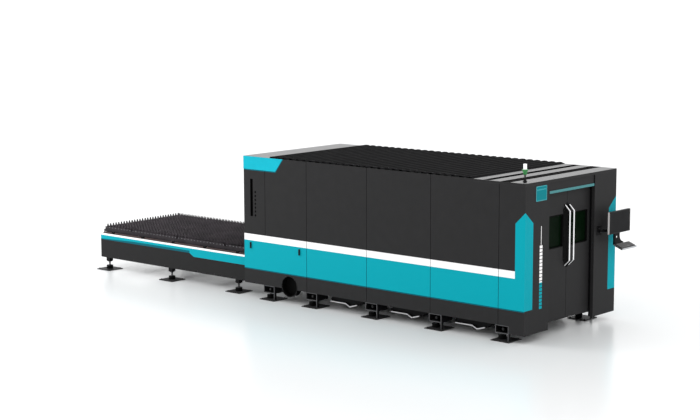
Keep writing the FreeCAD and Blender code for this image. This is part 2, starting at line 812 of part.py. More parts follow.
def slag_drawer(x):
    # A tray that hangs by two flanges, with a folded lip along its floor that serves as the pull.
    tray = drawer_section(x, -drawer_reach, drawer_reach, 0)
    tray = tray.cut(drawer_section(x, -drawer_reach + drawer_sheet, drawer_reach - drawer_sheet,
                                   drawer_sheet))
    front = -drawer_reach - drawer_lip
    lip = drawer_strip(x, front, -drawer_reach, drawer_sheet)
    turn = drawer_strip(x, front, front + drawer_sheet, drawer_pull_height)
    top_half = drawer_top_length / 2
    flanges = [block(x0, x0 + drawer_flange + 2 * drawer_sheet, -drawer_reach, drawer_reach,
                     drawer_top - drawer_sheet, drawer_top)
               for x0 in (x - top_half - drawer_flange, x + top_half - 2 * drawer_sheet)]
    return join([tray, lip, turn] + flanges)


def slag_drawers():
    for number, x in enumerate(drawer_places(), 1):
        parts[f"slag_drawer_{number}"] = slag_drawer(x)


def table_side():
    y0, y1 = -bed_half - channel_depth, -bed_half
    high = skirt_top - sheet
    outer = block(table_end, table_start, y0, y1, channel_bottom, high)
    hollow = block(table_end, table_start, y0, y1 - channel_wall,
                   channel_bottom + channel_wall, high - channel_wall)
    return outer.cut(hollow)


def table_frame():
    side = table_side()
    pitch = (table_length - crossmember_width) / (table_bars - 1)
    bars = [block(x, x + crossmember_width, -bed_half, bed_half,
                  channel_bottom, channel_bottom + crossmember_height)
            for x in spread(table_end, pitch, table_bars)]
    half = housing_width / 2
    housings = []
    for x in table_feet():
        for row in (-table_foot_row, table_foot_row):
            leg = block(x - half, x + half, row - half, row + half, housing_bottom, channel_bottom)
            low = [edge for edge in leg.Edges if abs(edge.BoundBox.ZMax - housing_bottom) < 0.01]
            housings.append(leg.makeChamfer(16, low))
    frame = join([side, across(side)] + bars + housings)
    return frame.cut(shaft_holes())


def shaft_holes():
    reach = bed_half + channel_depth
    x = table_end + shaft_from_end
    return rod(x, -reach, shaft_z, shaft_radius + bearing_clearance, 2 * reach, Vector(0, 1, 0))


def table_skirt():
    outer = block(table_end, table_start, -skirt_half, -skirt_half + fold / 4, skirt_bottom, skirt_top)
    hollow = block(table_end + sheet, table_start - sheet, -skirt_half + sheet, -skirt_half + fold / 4,
                   skirt_bottom + sheet, skirt_top - sheet)
    return outer.cut(hollow)


def table_guides():
    y0 = -bed_half - guide_bar_width - guide_gap
    top = skirt_top - sheet
    length, width, height = guide_block
    pitch = (table_length - guide_first - guide_last) / (guide_count - 1)
    places = spread(table_end + guide_first, pitch, guide_count)
    front = y0 - guide_block_overhang
    blocks = [block(x - length / 2, x + length / 2, front, front + width, top, top + height)
              for x in places]
    starts = [table_end] + [x + length / 2 + seam for x in places]
    ends = [x - length / 2 - seam for x in places] + [table_start]
    bars = [block(x0, x1, y0, y0 + guide_bar_width, top, top + guide_bar_height)
            for x0, x1 in zip(starts, ends)]
    parts["guide_blocks"] = group(blocks + [across(piece) for piece in blocks])
    parts["guide_bars"] = group(bars + [across(piece) for piece in bars])


def pallet_rail(x0, x1, wheel_centre):
    # An angle: the wheels run on its flange beside its upright leg, which is fixed to the girder.
    top = wheel_centre - wheel_radius - rail_clearance
    flange = block(x0, x1, -bed_half, -bed_half + rail_flange, top - rail_thickness, top)
    leg = block(x0, x1, -bed_half, -bed_half + rail_thickness, top - rail_thickness,
                top - rail_thickness + rail_fence)
    return join([flange, leg])


def pallet_rails():
    rails = []
    for level in (0, 1):
        centre = upper_wheel_centre - level * level_drop
        for x0, x1 in ((table_end, table_start), (table_start + seam, post_front - frame_gap)):
            rail = pallet_rail(x0, x1, centre)
            rails += [rail, across(rail)]
    return group(rails)


def drive():
    # Cross shaft between the two pallet levels, with a sprocket in each side channel, and the
    # geared motor under the table.
    x = table_end + shaft_from_end
    reach = bed_half + channel_depth - sheet
    shaft = rod(x, -reach, shaft_z, shaft_radius, 2 * reach, Vector(0, 1, 0))
    inset = bed_half + channel_wall + 3 * sprocket_width
    sprockets = [rod(x, y, shaft_z, sprocket_radius, sprocket_width, Vector(0, 1, 0))
                 for y in (-inset, inset - sprocket_width)]
    parts["drive_shaft"] = join([shaft] + sprockets)
    y1 = bed_half - rail_flange
    low = channel_bottom - motor_case[2]
    case = block(x - motor_case[0] / 2, x + motor_case[0] / 2, y1 - motor_case[1], y1, low, channel_bottom)
    body = rod(x, y1 - motor_case[1], (low + channel_bottom) / 2, motor_radius, motor_length,
               Vector(0, -1, 0))
    parts["drive_motor"] = join([case, body])


def slat():
    # One bar across the pallet with a row of pointed teeth along its top.
    half = pallet_half - slat_seat / 2
    pitch = 2 * half / tooth_count
    points = [(0, -half, 0), (0, half, 0)]
    for index in range(tooth_count):
        y = half - index * pitch
        points += [(0, y, slat_height - tooth_depth), (0, y - pitch / 2, slat_height)]
    points.append((0, -half, slat_height - tooth_depth))
    return prism(points, Vector(slat_thickness, 0, 0))


def pallet_frame(x0, wheel_centre):
    x1 = x0 + pallet_length
    low = wheel_centre - pallet_tube_below
    high = low + pallet_tube_height
    side = square_tube(x0, x1, -pallet_half, -pallet_half + pallet_tube_width, low, high, "X", tube_wall)
    bars = [side, across(side)]
    inner = pallet_half - pallet_tube_width
    pitch = (pallet_length - pallet_tube_width) / (pallet_crossbars - 1)
    for x in spread(x0, pitch, pallet_crossbars):
        bars.append(block(x, x + pallet_tube_width, -inner, inner, low, high - slat_seat))
    strips = []
    for y in (-pallet_half, pallet_half - strip_thickness):
        strips.append(block(x0 + slat_margin / 2, x1 - slat_margin / 2, y, y + strip_thickness,
                            high, high + strip_rise))
    frame = join(bars + strips)
    slots = []
    for x in spread(x0 + lift_slot_first, lift_slot_pitch, lift_slots):
        slot = block(x - lift_slot_width / 2, x + lift_slot_width / 2, -pallet_half - 1,
                     -pallet_half + strip_thickness + 1, high + lift_slot_sill, high + strip_rise + 1)
        slots += [slot, across(slot)]
    return frame.cut(Part.makeCompound(slots)).cut(pallet_slat_seats(x0, high))


def slat_places(x0):
    first = x0 + slat_margin
    pitch = (pallet_length - 2 * slat_margin - slat_thickness) / (slat_count - 1)
    return spread(first, pitch, slat_count)


def pallet_slat_seats(x0, high):
    half = pallet_half - slat_seat / 2
    return Part.makeCompound([block(x, x + slat_thickness, -half, half, high - slat_seat, high + 1)
                              for x in slat_places(x0)])


def pallet(name, x0, wheel_centre):
    high = wheel_centre - pallet_tube_below + pallet_tube_height
    parts[name + "_frame"] = pallet_frame(x0, wheel_centre)
    blade = slat()
    slats = []
    for x in slat_places(x0):
        one = blade.copy()
        one.translate(Vector(x, 0, high - slat_seat))
        slats.append(one)
    parts[name + "_slats"] = group(slats)
    pitch = (pallet_length - 4 * wheel_radius) / (wheel_count - 1)
    wheels = []
    for x in spread(x0 + 2 * wheel_radius, pitch, wheel_count):
        y0 = -pallet_half - wheel_gap - wheel_width
        tread = rod(x, y0, wheel_centre, wheel_radius, wheel_width, Vector(0, 1, 0))
        axle = rod(x, y0, wheel_centre, wheel_radius / 4, wheel_width + wheel_gap, Vector(0, 1, 0))
        wheel = join([tread, axle])
        wheels += [wheel, across(wheel)]
    parts[name + "_wheels"] = group(wheels)


def x_rails():
    y = -bed_half - girder_width / 2
    end = -cabin_length + fold + frame_gap
    rail = block(end + truck_end, post_front - truck_end, y - x_rail_width / 2, y + x_rail_width / 2,
                 girder_top, girder_top + x_rail_height)
    return group([rail, across(rail)])


def gantry_beam():
    x0 = gantry_x - beam_depth / 2
    rail_y = bed_half + girder_width / 2
    half = rail_y + truck_width / 2
    beam = square_tube(x0, x0 + beam_depth, -half, half, beam_bottom, beam_bottom + beam_height,
                       "Y", beam_wall)
    trucks = []
    for y in (-rail_y, rail_y):
        truck = block(gantry_x - truck_length / 2, gantry_x + truck_length / 2,
                      y - truck_width / 2, y + truck_width / 2,
                      girder_top + slide_clearance, beam_bottom)
        groove = block(gantry_x - truck_length / 2, gantry_x + truck_length / 2,
                       y - x_rail_width / 2 - slide_clearance, y + x_rail_width / 2 + slide_clearance,
                       girder_top, girder_top + x_rail_height + slide_clearance)
        trucks.append(truck.cut(groove))
    face = x0 + beam_depth
    guides = [block(face, face + beam_guide_width, -half + truck_end, half - truck_end,
                    z, z + beam_guide_height) for z in beam_guide_levels()]
    return join([beam] + trucks + guides)


def beam_guide_levels():
    return (beam_bottom + beam_guide_inset, beam_bottom + beam_height - beam_guide_inset - beam_guide_height)


def carriage():
    # A plate with grooves for the beam's two guides, and a channel in front that the ram runs in.
    face = gantry_x + beam_depth / 2
    front = face + carriage_plate
    half = carriage_width / 2
    x0 = face + slide_clearance
    plate = block(x0, front, -half, half, beam_bottom - carriage_below,
                  beam_bottom + beam_height + carriage_above)
    grooves = [block(x0 - 1, face + beam_guide_width + slide_clearance, -half, half,
                     z - slide_clearance, z + beam_guide_height + slide_clearance)
               for z in beam_guide_levels()]
    depth, width = ram_channel
    channel = square_tube(front, front + depth, -width / 2, width / 2, beam_bottom + carriage_above,
                          beam_bottom + beam_height + ram_channel_rise, "Z", ram_channel_wall)
    return join([plate.cut(Part.makeCompound(grooves)), channel])


def head_axis_x():
    return gantry_x + beam_depth / 2 + carriage_plate + ram_channel[0] / 2


def z_slide():
    # A square ram that runs down through the carriage's channel.
    x = head_axis_x()
    half_x, half_y = [size / 2 - ram_channel_wall - slide_clearance for size in ram_channel]
    low = nozzle_tip + nozzle_height + neck_height + barrel_height + head_collar_height
    return block(x - half_x, x + half_x, -half_y, half_y, low, beam_bottom + beam_height + ram_rise)


def cutting_head():
    # Nozzle, tapered neck, barrel and the narrower collar that meets the ram.
    x = head_axis_x()
    up = Vector(0, 0, 1)
    neck_z = nozzle_tip + nozzle_height
    barrel_z = neck_z + neck_height
    collar_z = barrel_z + barrel_height
    nozzle = Part.makeCone(nozzle_radius / 4, nozzle_radius, nozzle_height, Vector(x, 0, nozzle_tip), up)
    neck = Part.makeCone(nozzle_radius, neck_radius, neck_height, Vector(x, 0, neck_z), up)
    barrel = rod(x, 0, barrel_z, head_radius, barrel_height, up)
    collar = rod(x, 0, collar_z, head_radius - nozzle_radius, head_collar_height, up)
    bore = rod(x, 0, nozzle_tip, 1.5, nozzle_height + neck_height, up)
    return join([nozzle, neck, barrel, collar]).cut(bore)


def console_joint():
    angle = math.radians(arm_angle)
    return (console_pivot_x + arm_reach * math.cos(angle), console_pivot_y + arm_reach * math.sin(angle))


def console_bracket():
    # A wall plate on the far pillar with two ears and the pivot pin between them.
    up = Vector(0, 0, 1)
    plate = block(0, 8, console_pivot_y - 60, console_pivot_y + 60, console_z - 70, console_z + 70)
    gap = arm_height / 2 + 1
    ears = []
    for z0 in (console_z - gap - 10, console_z + gap):
        ears.append(block(0, console_pivot_x, console_pivot_y - 24, console_pivot_y + 24, z0, z0 + 10))
        ears.append(rod(console_pivot_x, console_pivot_y, z0, 24, 10, up))
    pin = rod(console_pivot_x, console_pivot_y, console_z - gap - 10, console_pin_radius,
              2 * (gap + 10), up)
    return join([plate, pin] + ears)


def console_arm():
    up = Vector(0, 0, 1)
    end_x, end_y = console_joint()
    low = console_z - arm_height / 2
    bar = block(0, arm_reach, -arm_width / 2, arm_width / 2, 0, arm_height)
    hubs = [rod(0, 0, 0, arm_width / 2, arm_height, up), rod(arm_reach, 0, 0, arm_width / 2, arm_height, up)]
    arm = join([bar] + hubs)
    arm.rotate(Vector(0, 0, 0), up, arm_angle)
    arm.translate(Vector(console_pivot_x, console_pivot_y, low))
    bores = [rod(x, y, low, console_pin_radius + pin_clearance, arm_height, up)
             for x, y in ((console_pivot_x, console_pivot_y), (end_x, end_y))]
    return arm.cut(Part.makeCompound(bores))


def hinge_x():
    # The monitor's tilt hinge lies midway between the post's face and the monitor's back.
    return (console_joint()[0] + post_thickness / 2 + monitor_face_x - monitor_depth) / 2


def console_carrier(x0, near, low):
    # The sheet behind the monitor: straight at its near edge, which is folded back, and spread
    # by a hollow curve at its far foot, with a cable hole.
    x1 = x0 + carrier_sheet
    far = near + carrier_width
    curve_low, curve_high = low + carrier_below_tray, low + carrier_below_tray + flare_radius
    turn = flare_radius * (1 - math.cos(math.radians(45)))
    start, end = Vector(x0, far, curve_high), Vector(x0, far + flare_radius, curve_low)
    middle = Vector(x0, far + turn, curve_low + turn)
    corners = [end, Vector(x0, far + flare_radius, low), Vector(x0, near, low),
               Vector(x0, near, carrier_top), Vector(x0, far, carrier_top), start]
    edges = Part.makePolygon(corners).Edges + [Part.Arc(start, middle, end).toShape()]
    sheet_piece = Part.Face(Part.Wire(edges)).extrude(Vector(carrier_sheet, 0, 0))
    folded = block(x1 - post_thickness, x1, near, near + carrier_sheet, low, carrier_top)
    hole = rod(x0, near + cable_hole_from_edge, cable_hole_z, cable_hole_radius, carrier_sheet,
               Vector(1, 0, 0))
    return join([sheet_piece, folded]).cut(hole)


def console_post():
    # The swivelling carrier: a fork on the arm's end, a sheet behind the monitor, two hinge ears
    # with the tilt pin, and a foot under the keyboard tray.
    up = Vector(0, 0, 1)
    x, y = console_joint()
    x0, x1 = x - post_thickness / 2, x + post_thickness / 2
    gap = arm_height / 2 + 1
    sheet_x = hinge_x() - hinge_radius - carrier_gap - carrier_sheet
    near = monitor_centre_y - carrier_from_middle
    low = tray_back_z - carrier_below_tray
    foot_top = tray_back_z - tray_thickness / math.cos(math.radians(tray_tilt))
    pieces = [rod(x, y, console_z - gap - 12, console_pin_radius, 2 * (gap + 12), up)]
    for z0 in (console_z - gap - 12, console_z + gap):
        pieces.append(rod(x, y, z0, post_thickness / 2, 12, up))
        pieces.append(block(x0, x1, y, near + fork_lap, z0, z0 + 12))
    pieces.append(console_carrier(sheet_x, near, low))
    pieces.append(block(sheet_x, tray_back_x, near, near + foot_width, low, foot_top))
    half = hinge_half + hinge_ear_gap
    for ear_y in (monitor_centre_y - half - hinge_ear, monitor_centre_y + half):
        pieces.append(rod(hinge_x(), ear_y, monitor_hinge_z, hinge_radius, hinge_ear, Vector(0, 1, 0)))
        pieces.append(block(sheet_x, hinge_x(), ear_y, ear_y + hinge_ear,
                            monitor_hinge_z - hinge_radius, monitor_hinge_z + hinge_radius))
    pieces.append(rod(hinge_x(), monitor_centre_y - half - hinge_ear, monitor_hinge_z, hinge_pin_radius,
                      2 * (half + hinge_ear), Vector(0, 1, 0)))
    return join(pieces)


def monitor():
    half = monitor_width / 2
    x0, x1 = monitor_face_x - monitor_depth, monitor_face_x
    y0, y1 = monitor_centre_y - half, monitor_centre_y + half
    case = block(x0, x1, y0, y1, monitor_bottom, monitor_bottom + monitor_height)
    corners = [edge for edge in case.Edges if abs(edge.BoundBox.XLength - monitor_depth) < 0.01]
    case = case.makeFillet(8, corners)
    screen = block(x1 - screen_depth, x1, y0 + monitor_rim, y1 - monitor_rim,
                   monitor_bottom + monitor_rim, monitor_bottom + monitor_height - monitor_rim)
    knuckle = rod(hinge_x(), monitor_centre_y - hinge_half, monitor_hinge_z, hinge_radius,
                  2 * hinge_half, Vector(0, 1, 0))
    neck = block(hinge_x(), x0, monitor_centre_y - hinge_half, monitor_centre_y + hinge_half,
                 monitor_hinge_z - hinge_radius / 2, monitor_hinge_z + hinge_radius / 2)
    bore = rod(hinge_x(), monitor_centre_y - hinge_half, monitor_hinge_z,
               hinge_pin_radius + pin_clearance, 2 * hinge_half, Vector(0, 1, 0))
    return join([case.cut(screen), knuckle, neck]).cut(bore)


def keyboard_tray():
    half = tray_width / 2
    board = block(0, tray_length, -half, half, -tray_thickness, 0)
    rim = block(tray_length - tray_rim_thickness, tray_length, -half, half, 0, tray_rim_height)
    tray = join([board, rim])
    tray.rotate(Vector(0, 0, 0), Vector(0, 1, 0), tray_tilt)
    tray.translate(Vector(tray_back_x, tray_centre_y, tray_back_z))
    return tray


def console():
    parts["console_bracket"] = console_bracket()
    parts["console_arm"] = console_arm()
    parts["console_post"] = console_post()
    parts["monitor"] = monitor()
    parts["keyboard_tray"] = keyboard_tray()


def build():
    side_cladding()
    near = pillar()
    parts["pillar_near"] = near
    parts["pillar_far"] = across(near)
    parts["header_panel"] = header()
    parts["rear_portal"] = rear_portal()
    side = side_frame()
    parts["side_frames"] = group([side, across(side)])
    parts["roof_frame"] = roof_frame()
    covers = roof()
    parts["roof_cross_covers"] = group(covers)
    under = [name for name in parts if name.startswith(("near_", "far_", "pillar_", "header", "rear_"))]
    trim_under_roof(under, covers)
    parts["lintel_light"] = lintel_light()
    doors()
    signal_lamp()
    feet()
    bed()
    parts["dust_collar"] = dust_collar()
    slag_drawers()
    parts["table_frame"] = table_frame()
    skirt = table_skirt()
    parts["table_skirt_near"] = skirt
    parts["table_skirt_far"] = across(skirt)
    table_guides()
    parts["pallet_rails"] = pallet_rails()
    drive()
    pallet("upper_pallet", pallet_outer_end, upper_wheel_centre)
    pallet("lower_pallet", pallet_outer_end + pallet_travel, upper_wheel_centre - level_drop)
    parts["x_rails"] = x_rails()
    parts["gantry_beam"] = gantry_beam()
    parts["carriage"] = carriage()
    parts["z_slide"] = z_slide()
    parts["cutting_head"] = cutting_head()
    console()


def shift_to_origin():
    whole = FreeCAD.BoundBox()
    for shape in parts.values():
        whole.add(shape.optimalBoundingBox(False, False))
    return Vector(-whole.Center.x, -whole.Center.y, -whole.ZMin)


build()
origin_shift = shift_to_origin()
os.makedirs("parts", exist_ok=True)
for name, shape in parts.items():
    shape.translate(origin_shift)
    shape.exportStep(f"parts/{name}.step")
print(len(parts), "parts, origin shift", tuple(round(value, 3) for value in origin_shift))
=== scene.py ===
import json
import math

import bmesh
import bpy
from mathutils import Matrix, Vector


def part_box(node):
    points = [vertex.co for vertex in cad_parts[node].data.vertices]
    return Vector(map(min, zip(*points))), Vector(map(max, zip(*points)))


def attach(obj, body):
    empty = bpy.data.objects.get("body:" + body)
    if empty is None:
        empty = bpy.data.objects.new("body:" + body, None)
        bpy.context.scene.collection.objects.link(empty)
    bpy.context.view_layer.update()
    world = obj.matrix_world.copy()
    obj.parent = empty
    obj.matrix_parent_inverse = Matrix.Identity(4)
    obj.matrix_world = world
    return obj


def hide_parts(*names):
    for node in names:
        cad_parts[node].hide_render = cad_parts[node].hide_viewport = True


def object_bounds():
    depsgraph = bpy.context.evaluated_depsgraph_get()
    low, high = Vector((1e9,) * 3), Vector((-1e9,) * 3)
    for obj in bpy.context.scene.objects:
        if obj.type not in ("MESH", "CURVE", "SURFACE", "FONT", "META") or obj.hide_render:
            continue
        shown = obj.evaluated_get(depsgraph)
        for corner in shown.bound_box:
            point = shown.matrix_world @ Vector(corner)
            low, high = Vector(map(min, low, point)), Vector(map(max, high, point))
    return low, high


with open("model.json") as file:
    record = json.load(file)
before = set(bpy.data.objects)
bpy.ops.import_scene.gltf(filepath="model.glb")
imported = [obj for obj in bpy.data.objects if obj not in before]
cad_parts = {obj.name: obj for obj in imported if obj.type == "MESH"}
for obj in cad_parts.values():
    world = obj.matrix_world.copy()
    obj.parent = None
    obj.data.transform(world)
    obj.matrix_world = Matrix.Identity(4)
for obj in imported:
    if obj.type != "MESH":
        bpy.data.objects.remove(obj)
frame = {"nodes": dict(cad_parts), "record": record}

# Fiber laser cutting machine, in metres. +X is the door end, -Y the near side, z = 0 the floor.
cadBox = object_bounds()
nodes = frame["nodes"]

# Planes that the finishes and added pieces are set out from.
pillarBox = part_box("pillar_near")
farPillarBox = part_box("pillar_far")
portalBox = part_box("rear_portal")
doorX = pillarBox[1].x
tailX = portalBox[0].x
nearY = pillarBox[0].y
farY = farPillarBox[1].y
centreY = (nearY + farY) / 2
halfWidth = (farY - nearY) / 2
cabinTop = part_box("near_panel_3")[1].z
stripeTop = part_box("near_access_cover")[1].z


def solidBoxes(nodeName):
    # The box of each separate solid in a CAD node, from a merged copy of its mesh.
    shape = bmesh.new()
    shape.from_mesh(nodes[nodeName].data)
    bmesh.ops.remove_doubles(shape, verts=shape.verts, dist=1e-5)
    left = set(shape.verts)
    boxes = []
    while left:
        stack = [left.pop()]
        island = list(stack)
        while stack:
            for edge in stack.pop().link_edges:
                for vert in edge.verts:
                    if vert in left:
                        left.remove(vert)
                        stack.append(vert)
                        island.append(vert)
        low = Vector([min(v.co[axis] for v in island) for axis in range(3)])
        high = Vector([max(v.co[axis] for v in island) for axis in range(3)])
        boxes.append((low, high))
    shape.free()
    return sorted(boxes, key=lambda box: (round(box[0].x, 3), round(box[0].y, 3), round(box[0].z, 3)))


cameraView = dict(place=(17.088, -19.5205, 5.143), azimuth=40.904, down=8.346, roll=-0.137,
                  lens=85.25, sensor=36.0)


def setCamera():
    data = bpy.data.cameras.new("camera")
    data.lens = cameraView["lens"]
    data.sensor_width = cameraView["sensor"]
    data.clip_end = 2000
    camera = bpy.data.objects.new("camera", data)
    bpy.context.scene.collection.objects.link(camera)
    turn = Matrix.Rotation(math.radians(cameraView["azimuth"]), 4, "Z")
    tip = Matrix.Rotation(math.radians(90 - cameraView["down"]), 4, "X")
    roll = Matrix.Rotation(math.radians(cameraView["roll"]), 4, "Z")
    camera.matrix_world = Matrix.Translation(cameraView["place"]) @ turn @ tip @ roll
    bpy.context.scene.camera = camera


studio = dict(floorRadius=900.0, nearShade=(0.90, 0.915, 0.92), farShade=(0.97, 0.975, 0.98),
              shadeStart=0.2, shadeEnd=5.0, floorRoughness=0.24, floorGloss=0.5, skyStrength=1.13,
              keyPower=1500.0, keySize=8.0, keyPlace=(-15.0, -9.0, 7.0),
              fillPower=120.0, fillSize=7.0, fillPlace=(13.0, -3.0, 7.0))


def floorMaterial():
    # Pale floor with a painted shadow: a little greyer round the machine, and white further out.
    material, shader = newMaterial("studioFloor", studio["nearShade"], studio["floorRoughness"])
    tree = material.node_tree
    shader.inputs["Specular IOR Level"].default_value = studio["floorGloss"]
    parts = split(tree, place(material))
    middle = (cadBox[0] + cadBox[1]) / 2
    half = (cadBox[1] - cadBox[0]) / 2
    sides = []
    for axis, centre, reach in (("X", middle.x, half.x), ("Y", middle.y, half.y)):
        offset = calc(tree, "ABSOLUTE", calc(tree, "SUBTRACT", parts[axis], centre))
        beyond = calc(tree, "MAXIMUM", calc(tree, "SUBTRACT", offset, reach), 0.0)
        sides.append(calc(tree, "MULTIPLY", beyond, beyond))
    away = calc(tree, "SQRT", calc(tree, "ADD", *sides))
    share = tree.nodes.new("ShaderNodeMapRange")
    share.interpolation_type = "SMOOTHSTEP"
    tree.links.new(away, share.inputs["Value"])
    share.inputs["From Min"].default_value = studio["shadeStart"]
    share.inputs["From Max"].default_value = studio["shadeEnd"]
    tint = blendColours(tree, share.outputs["Result"], studio["nearShade"], studio["farShade"])
    tree.links.new(tint, shader.inputs["Base Color"])
    return material


def setStudio():
    scene = bpy.context.scene
    scene.view_settings.view_transform = "Standard"
    scene.view_settings.look = "None"
    world = bpy.data.worlds.new("studio")
    world.use_nodes = True
    sky = world.node_tree.nodes["Background"]
    sky.inputs["Color"].default_value = (1.0, 1.0, 1.0, 1.0)
    sky.inputs["Strength"].default_value = studio["skyStrength"]
    scene.world = world
    mesh = bpy.data.meshes.new("floor")
    shape = bmesh.new()
    bmesh.ops.create_circle(shape, cap_ends=True, segments=96, radius=studio["floorRadius"])
    shape.to_mesh(mesh)
    shape.free()
    floor = bpy.data.objects.new("floor", mesh)
    scene.collection.objects.link(floor)
    mesh.materials.append(floorMaterial())
    for name in ("key", "fill"):
        lamp = bpy.data.lights.new(name, "AREA")
        lamp.energy = studio[name + "Power"]
        lamp.size = studio[name + "Size"]
        light = bpy.data.objects.new(name, lamp)
        light.location = studio[name + "Place"]
        aim = Vector((0, centreY, 1.0)) - light.location
        light.rotation_euler = aim.to_track_quat("-Z", "Y").to_euler()
        scene.collection.objects.link(light)


def newMaterial(name, colour, roughness, metallic=0.0):
    material = bpy.data.materials.new(name)
    material.use_nodes = True
    shader = material.node_tree.nodes["Principled BSDF"]
    shader.inputs["Base Color"].default_value = (*colour, 1.0)
    shader.inputs["Roughness"].default_value = roughness
    shader.inputs["Metallic"].default_value = metallic
    return material, shader


def calc(tree, operation, first, second=None, third=None):
    # One Math node; an input is a number or another node's output.
    node = tree.nodes.new("ShaderNodeMath")
    node.operation = operation
    for index, value in enumerate((first, second, third)):
        if value is None:
            continue
        if isinstance(value, (int, float)):
            node.inputs[index].default_value = value
        else:
            tree.links.new(value, node.inputs[index])
    return node.outputs[0]


def within(tree, value, low, high):
    above = calc(tree, "GREATER_THAN", value, low)
    below = calc(tree, "LESS_THAN", value, high)
    return calc(tree, "MULTIPLY", above, below)


def allOf(tree, *masks):
    whole = masks[0]
    for mask in masks[1:]:
        whole = calc(tree, "MULTIPLY", whole, mask)
    return whole


def anyOf(tree, *masks):
    whole = masks[0]
    for mask in masks[1:]:
        whole = calc(tree, "MAXIMUM", whole, mask)
    return whole


def blendColours(tree, mask, first, second):
    # Colours are tuples or outputs; the mask picks the second.
    node = tree.nodes.new("ShaderNodeMix")
    node.data_type = "RGBA"
    tree.links.new(mask, node.inputs[0])
    for socket, colour in ((node.inputs[6], first), (node.inputs[7], second)):
        if isinstance(colour, tuple):
            socket.default_value = (*colour, 1.0)
        else:
            tree.links.new(colour, socket)
    return node.outputs[2]


socketKinds = {int: "Int", float: "Float", tuple: "Vector", type(None): "Vector"}


def addInputs(tree, inputs):
    # Named input sockets; underscores stand for spaces, and None is a place or a direction.
    for label, value in inputs.items():
        kind = "NodeSocket" + socketKinds[type(value)]
        socket = tree.interface.new_socket(label.replace("_", " "), in_out="INPUT", socket_type=kind)
        if value is not None:
            socket.default_value = value


def startGroup(name, outputs, **inputs):
    # A shader group with named sockets, whose outputs are all numbers.
    tree = bpy.data.node_groups.new(name, "ShaderNodeTree")
    addInputs(tree, inputs)
    for label in outputs:
        tree.interface.new_socket(label, in_out="OUTPUT", socket_type="NodeSocketFloat")
    return tree, tree.nodes.new("NodeGroupInput"), tree.nodes.new("NodeGroupOutput")


def setInputs(tree, node, values):
    # Values or other nodes' outputs; underscores in a name stand for spaces.
    for label, value in values.items():
        socket = node.inputs[label.replace("_", " ")]
        if isinstance(value, bpy.types.NodeSocket):
            tree.links.new(value, socket)
        else:
            socket.default_value = value
    return node


def addNode(tree, kind, **inputs):
    return setInputs(tree, tree.nodes.new(kind), inputs)


def useGroup(material, tree, **values):
    node = material.node_tree.nodes.new("ShaderNodeGroup")
    node.node_tree = tree
    return setInputs(material.node_tree, node, values)


def split(tree, vector):
    node = tree.nodes.new("ShaderNodeSeparateXYZ")
    tree.links.new(vector, node.inputs[0])
    return node.outputs


def shade(colour, share):
    return tuple(min(1.0, part * share) for part in colour)


def place(material):
    return material.node_tree.nodes.new("ShaderNodeTexCoord").outputs["Object"]


def noise(tree, vector, scale, detail=2.0, roughness=0.5):
    return addNode(tree, "ShaderNodeTexNoise", Vector=vector, Scale=scale, Detail=detail,
                   Roughness=roughness).outputs["Fac"]


def bump(material, height, strength, distance):
    return addNode(material.node_tree, "ShaderNodeBump", Height=height, Strength=strength,
                   Distance=distance).outputs["Normal"]


def clamped(tree, value):
    return addNode(tree, "ShaderNodeClamp", Value=value).outputs["Result"]


def dress(material, shader, colour, roughness, relief):
    for source, name in ((colour, "Base Color"), (roughness, "Roughness"), (relief, "Normal")):
        material.node_tree.links.new(source, shader.inputs[name])
    return material


def makePaintGrain():
    # Powder coat: fine orange peel over a faint wave of the sheet, and an uneven gloss.
    tree, start, end = startGroup("paintGrain", ("Height", "Roughness", "Shade"), Position=None,
                                  Grain_scale=420.0, Wave_scale=1.6, Wave_share=0.7, Roughness=0.4,
                                  Gloss_change=0.08)
    grain = noise(tree, start.outputs["Position"], start.outputs["Grain scale"], 2.0)
    wave = noise(tree, start.outputs["Position"], start.outputs["Wave scale"], 1.0)
    share = start.outputs["Wave share"]
    rest = calc(tree, "SUBTRACT", 1.0, share)
    height = calc(tree, "ADD", calc(tree, "MULTIPLY", wave, share), calc(tree, "MULTIPLY", grain, rest))
    tree.links.new(height, end.inputs["Height"])
    patch = noise(tree, start.outputs["Position"], 7.0, 4.0)
    swing = calc(tree, "MULTIPLY", calc(tree, "SUBTRACT", patch, 0.5), start.outputs["Gloss change"])
    tree.links.new(calc(tree, "ADD", start.outputs["Roughness"], swing), end.inputs["Roughness"])
    tree.links.new(patch, end.inputs["Shade"])
    return tree


def makeEdgeWear():
    # A mask that is high on rounded-over edges, broken up by noise.
    tree, start, end = startGroup("edgeWear", ("Mask",), Position=None, Amount=1.0, Break_up=60.0)
    rounded = tree.nodes.new("ShaderNodeBevel")
    rounded.samples = 4
    rounded.inputs["Radius"].default_value = 0.006
    flat = tree.nodes.new("ShaderNodeNewGeometry")
    facing = tree.nodes.new("ShaderNodeVectorMath")
    facing.operation = "DOT_PRODUCT"
    tree.links.new(rounded.outputs["Normal"], facing.inputs[0])
    tree.links.new(flat.outputs["True Normal"], facing.inputs[1])
    turned = calc(tree, "SUBTRACT", 1.0, facing.outputs["Value"])
    spread = calc(tree, "MULTIPLY", turned, 6.0)
    patches = noise(tree, start.outputs["Position"], start.outputs["Break up"], 4.0, 0.7)
    broken = calc(tree, "MULTIPLY", spread, calc(tree, "MULTIPLY", patches, 1.6))
    mask = clamped(tree, calc(tree, "MULTIPLY", broken, start.outputs["Amount"]))
    tree.links.new(mask, end.inputs["Mask"])
    return tree


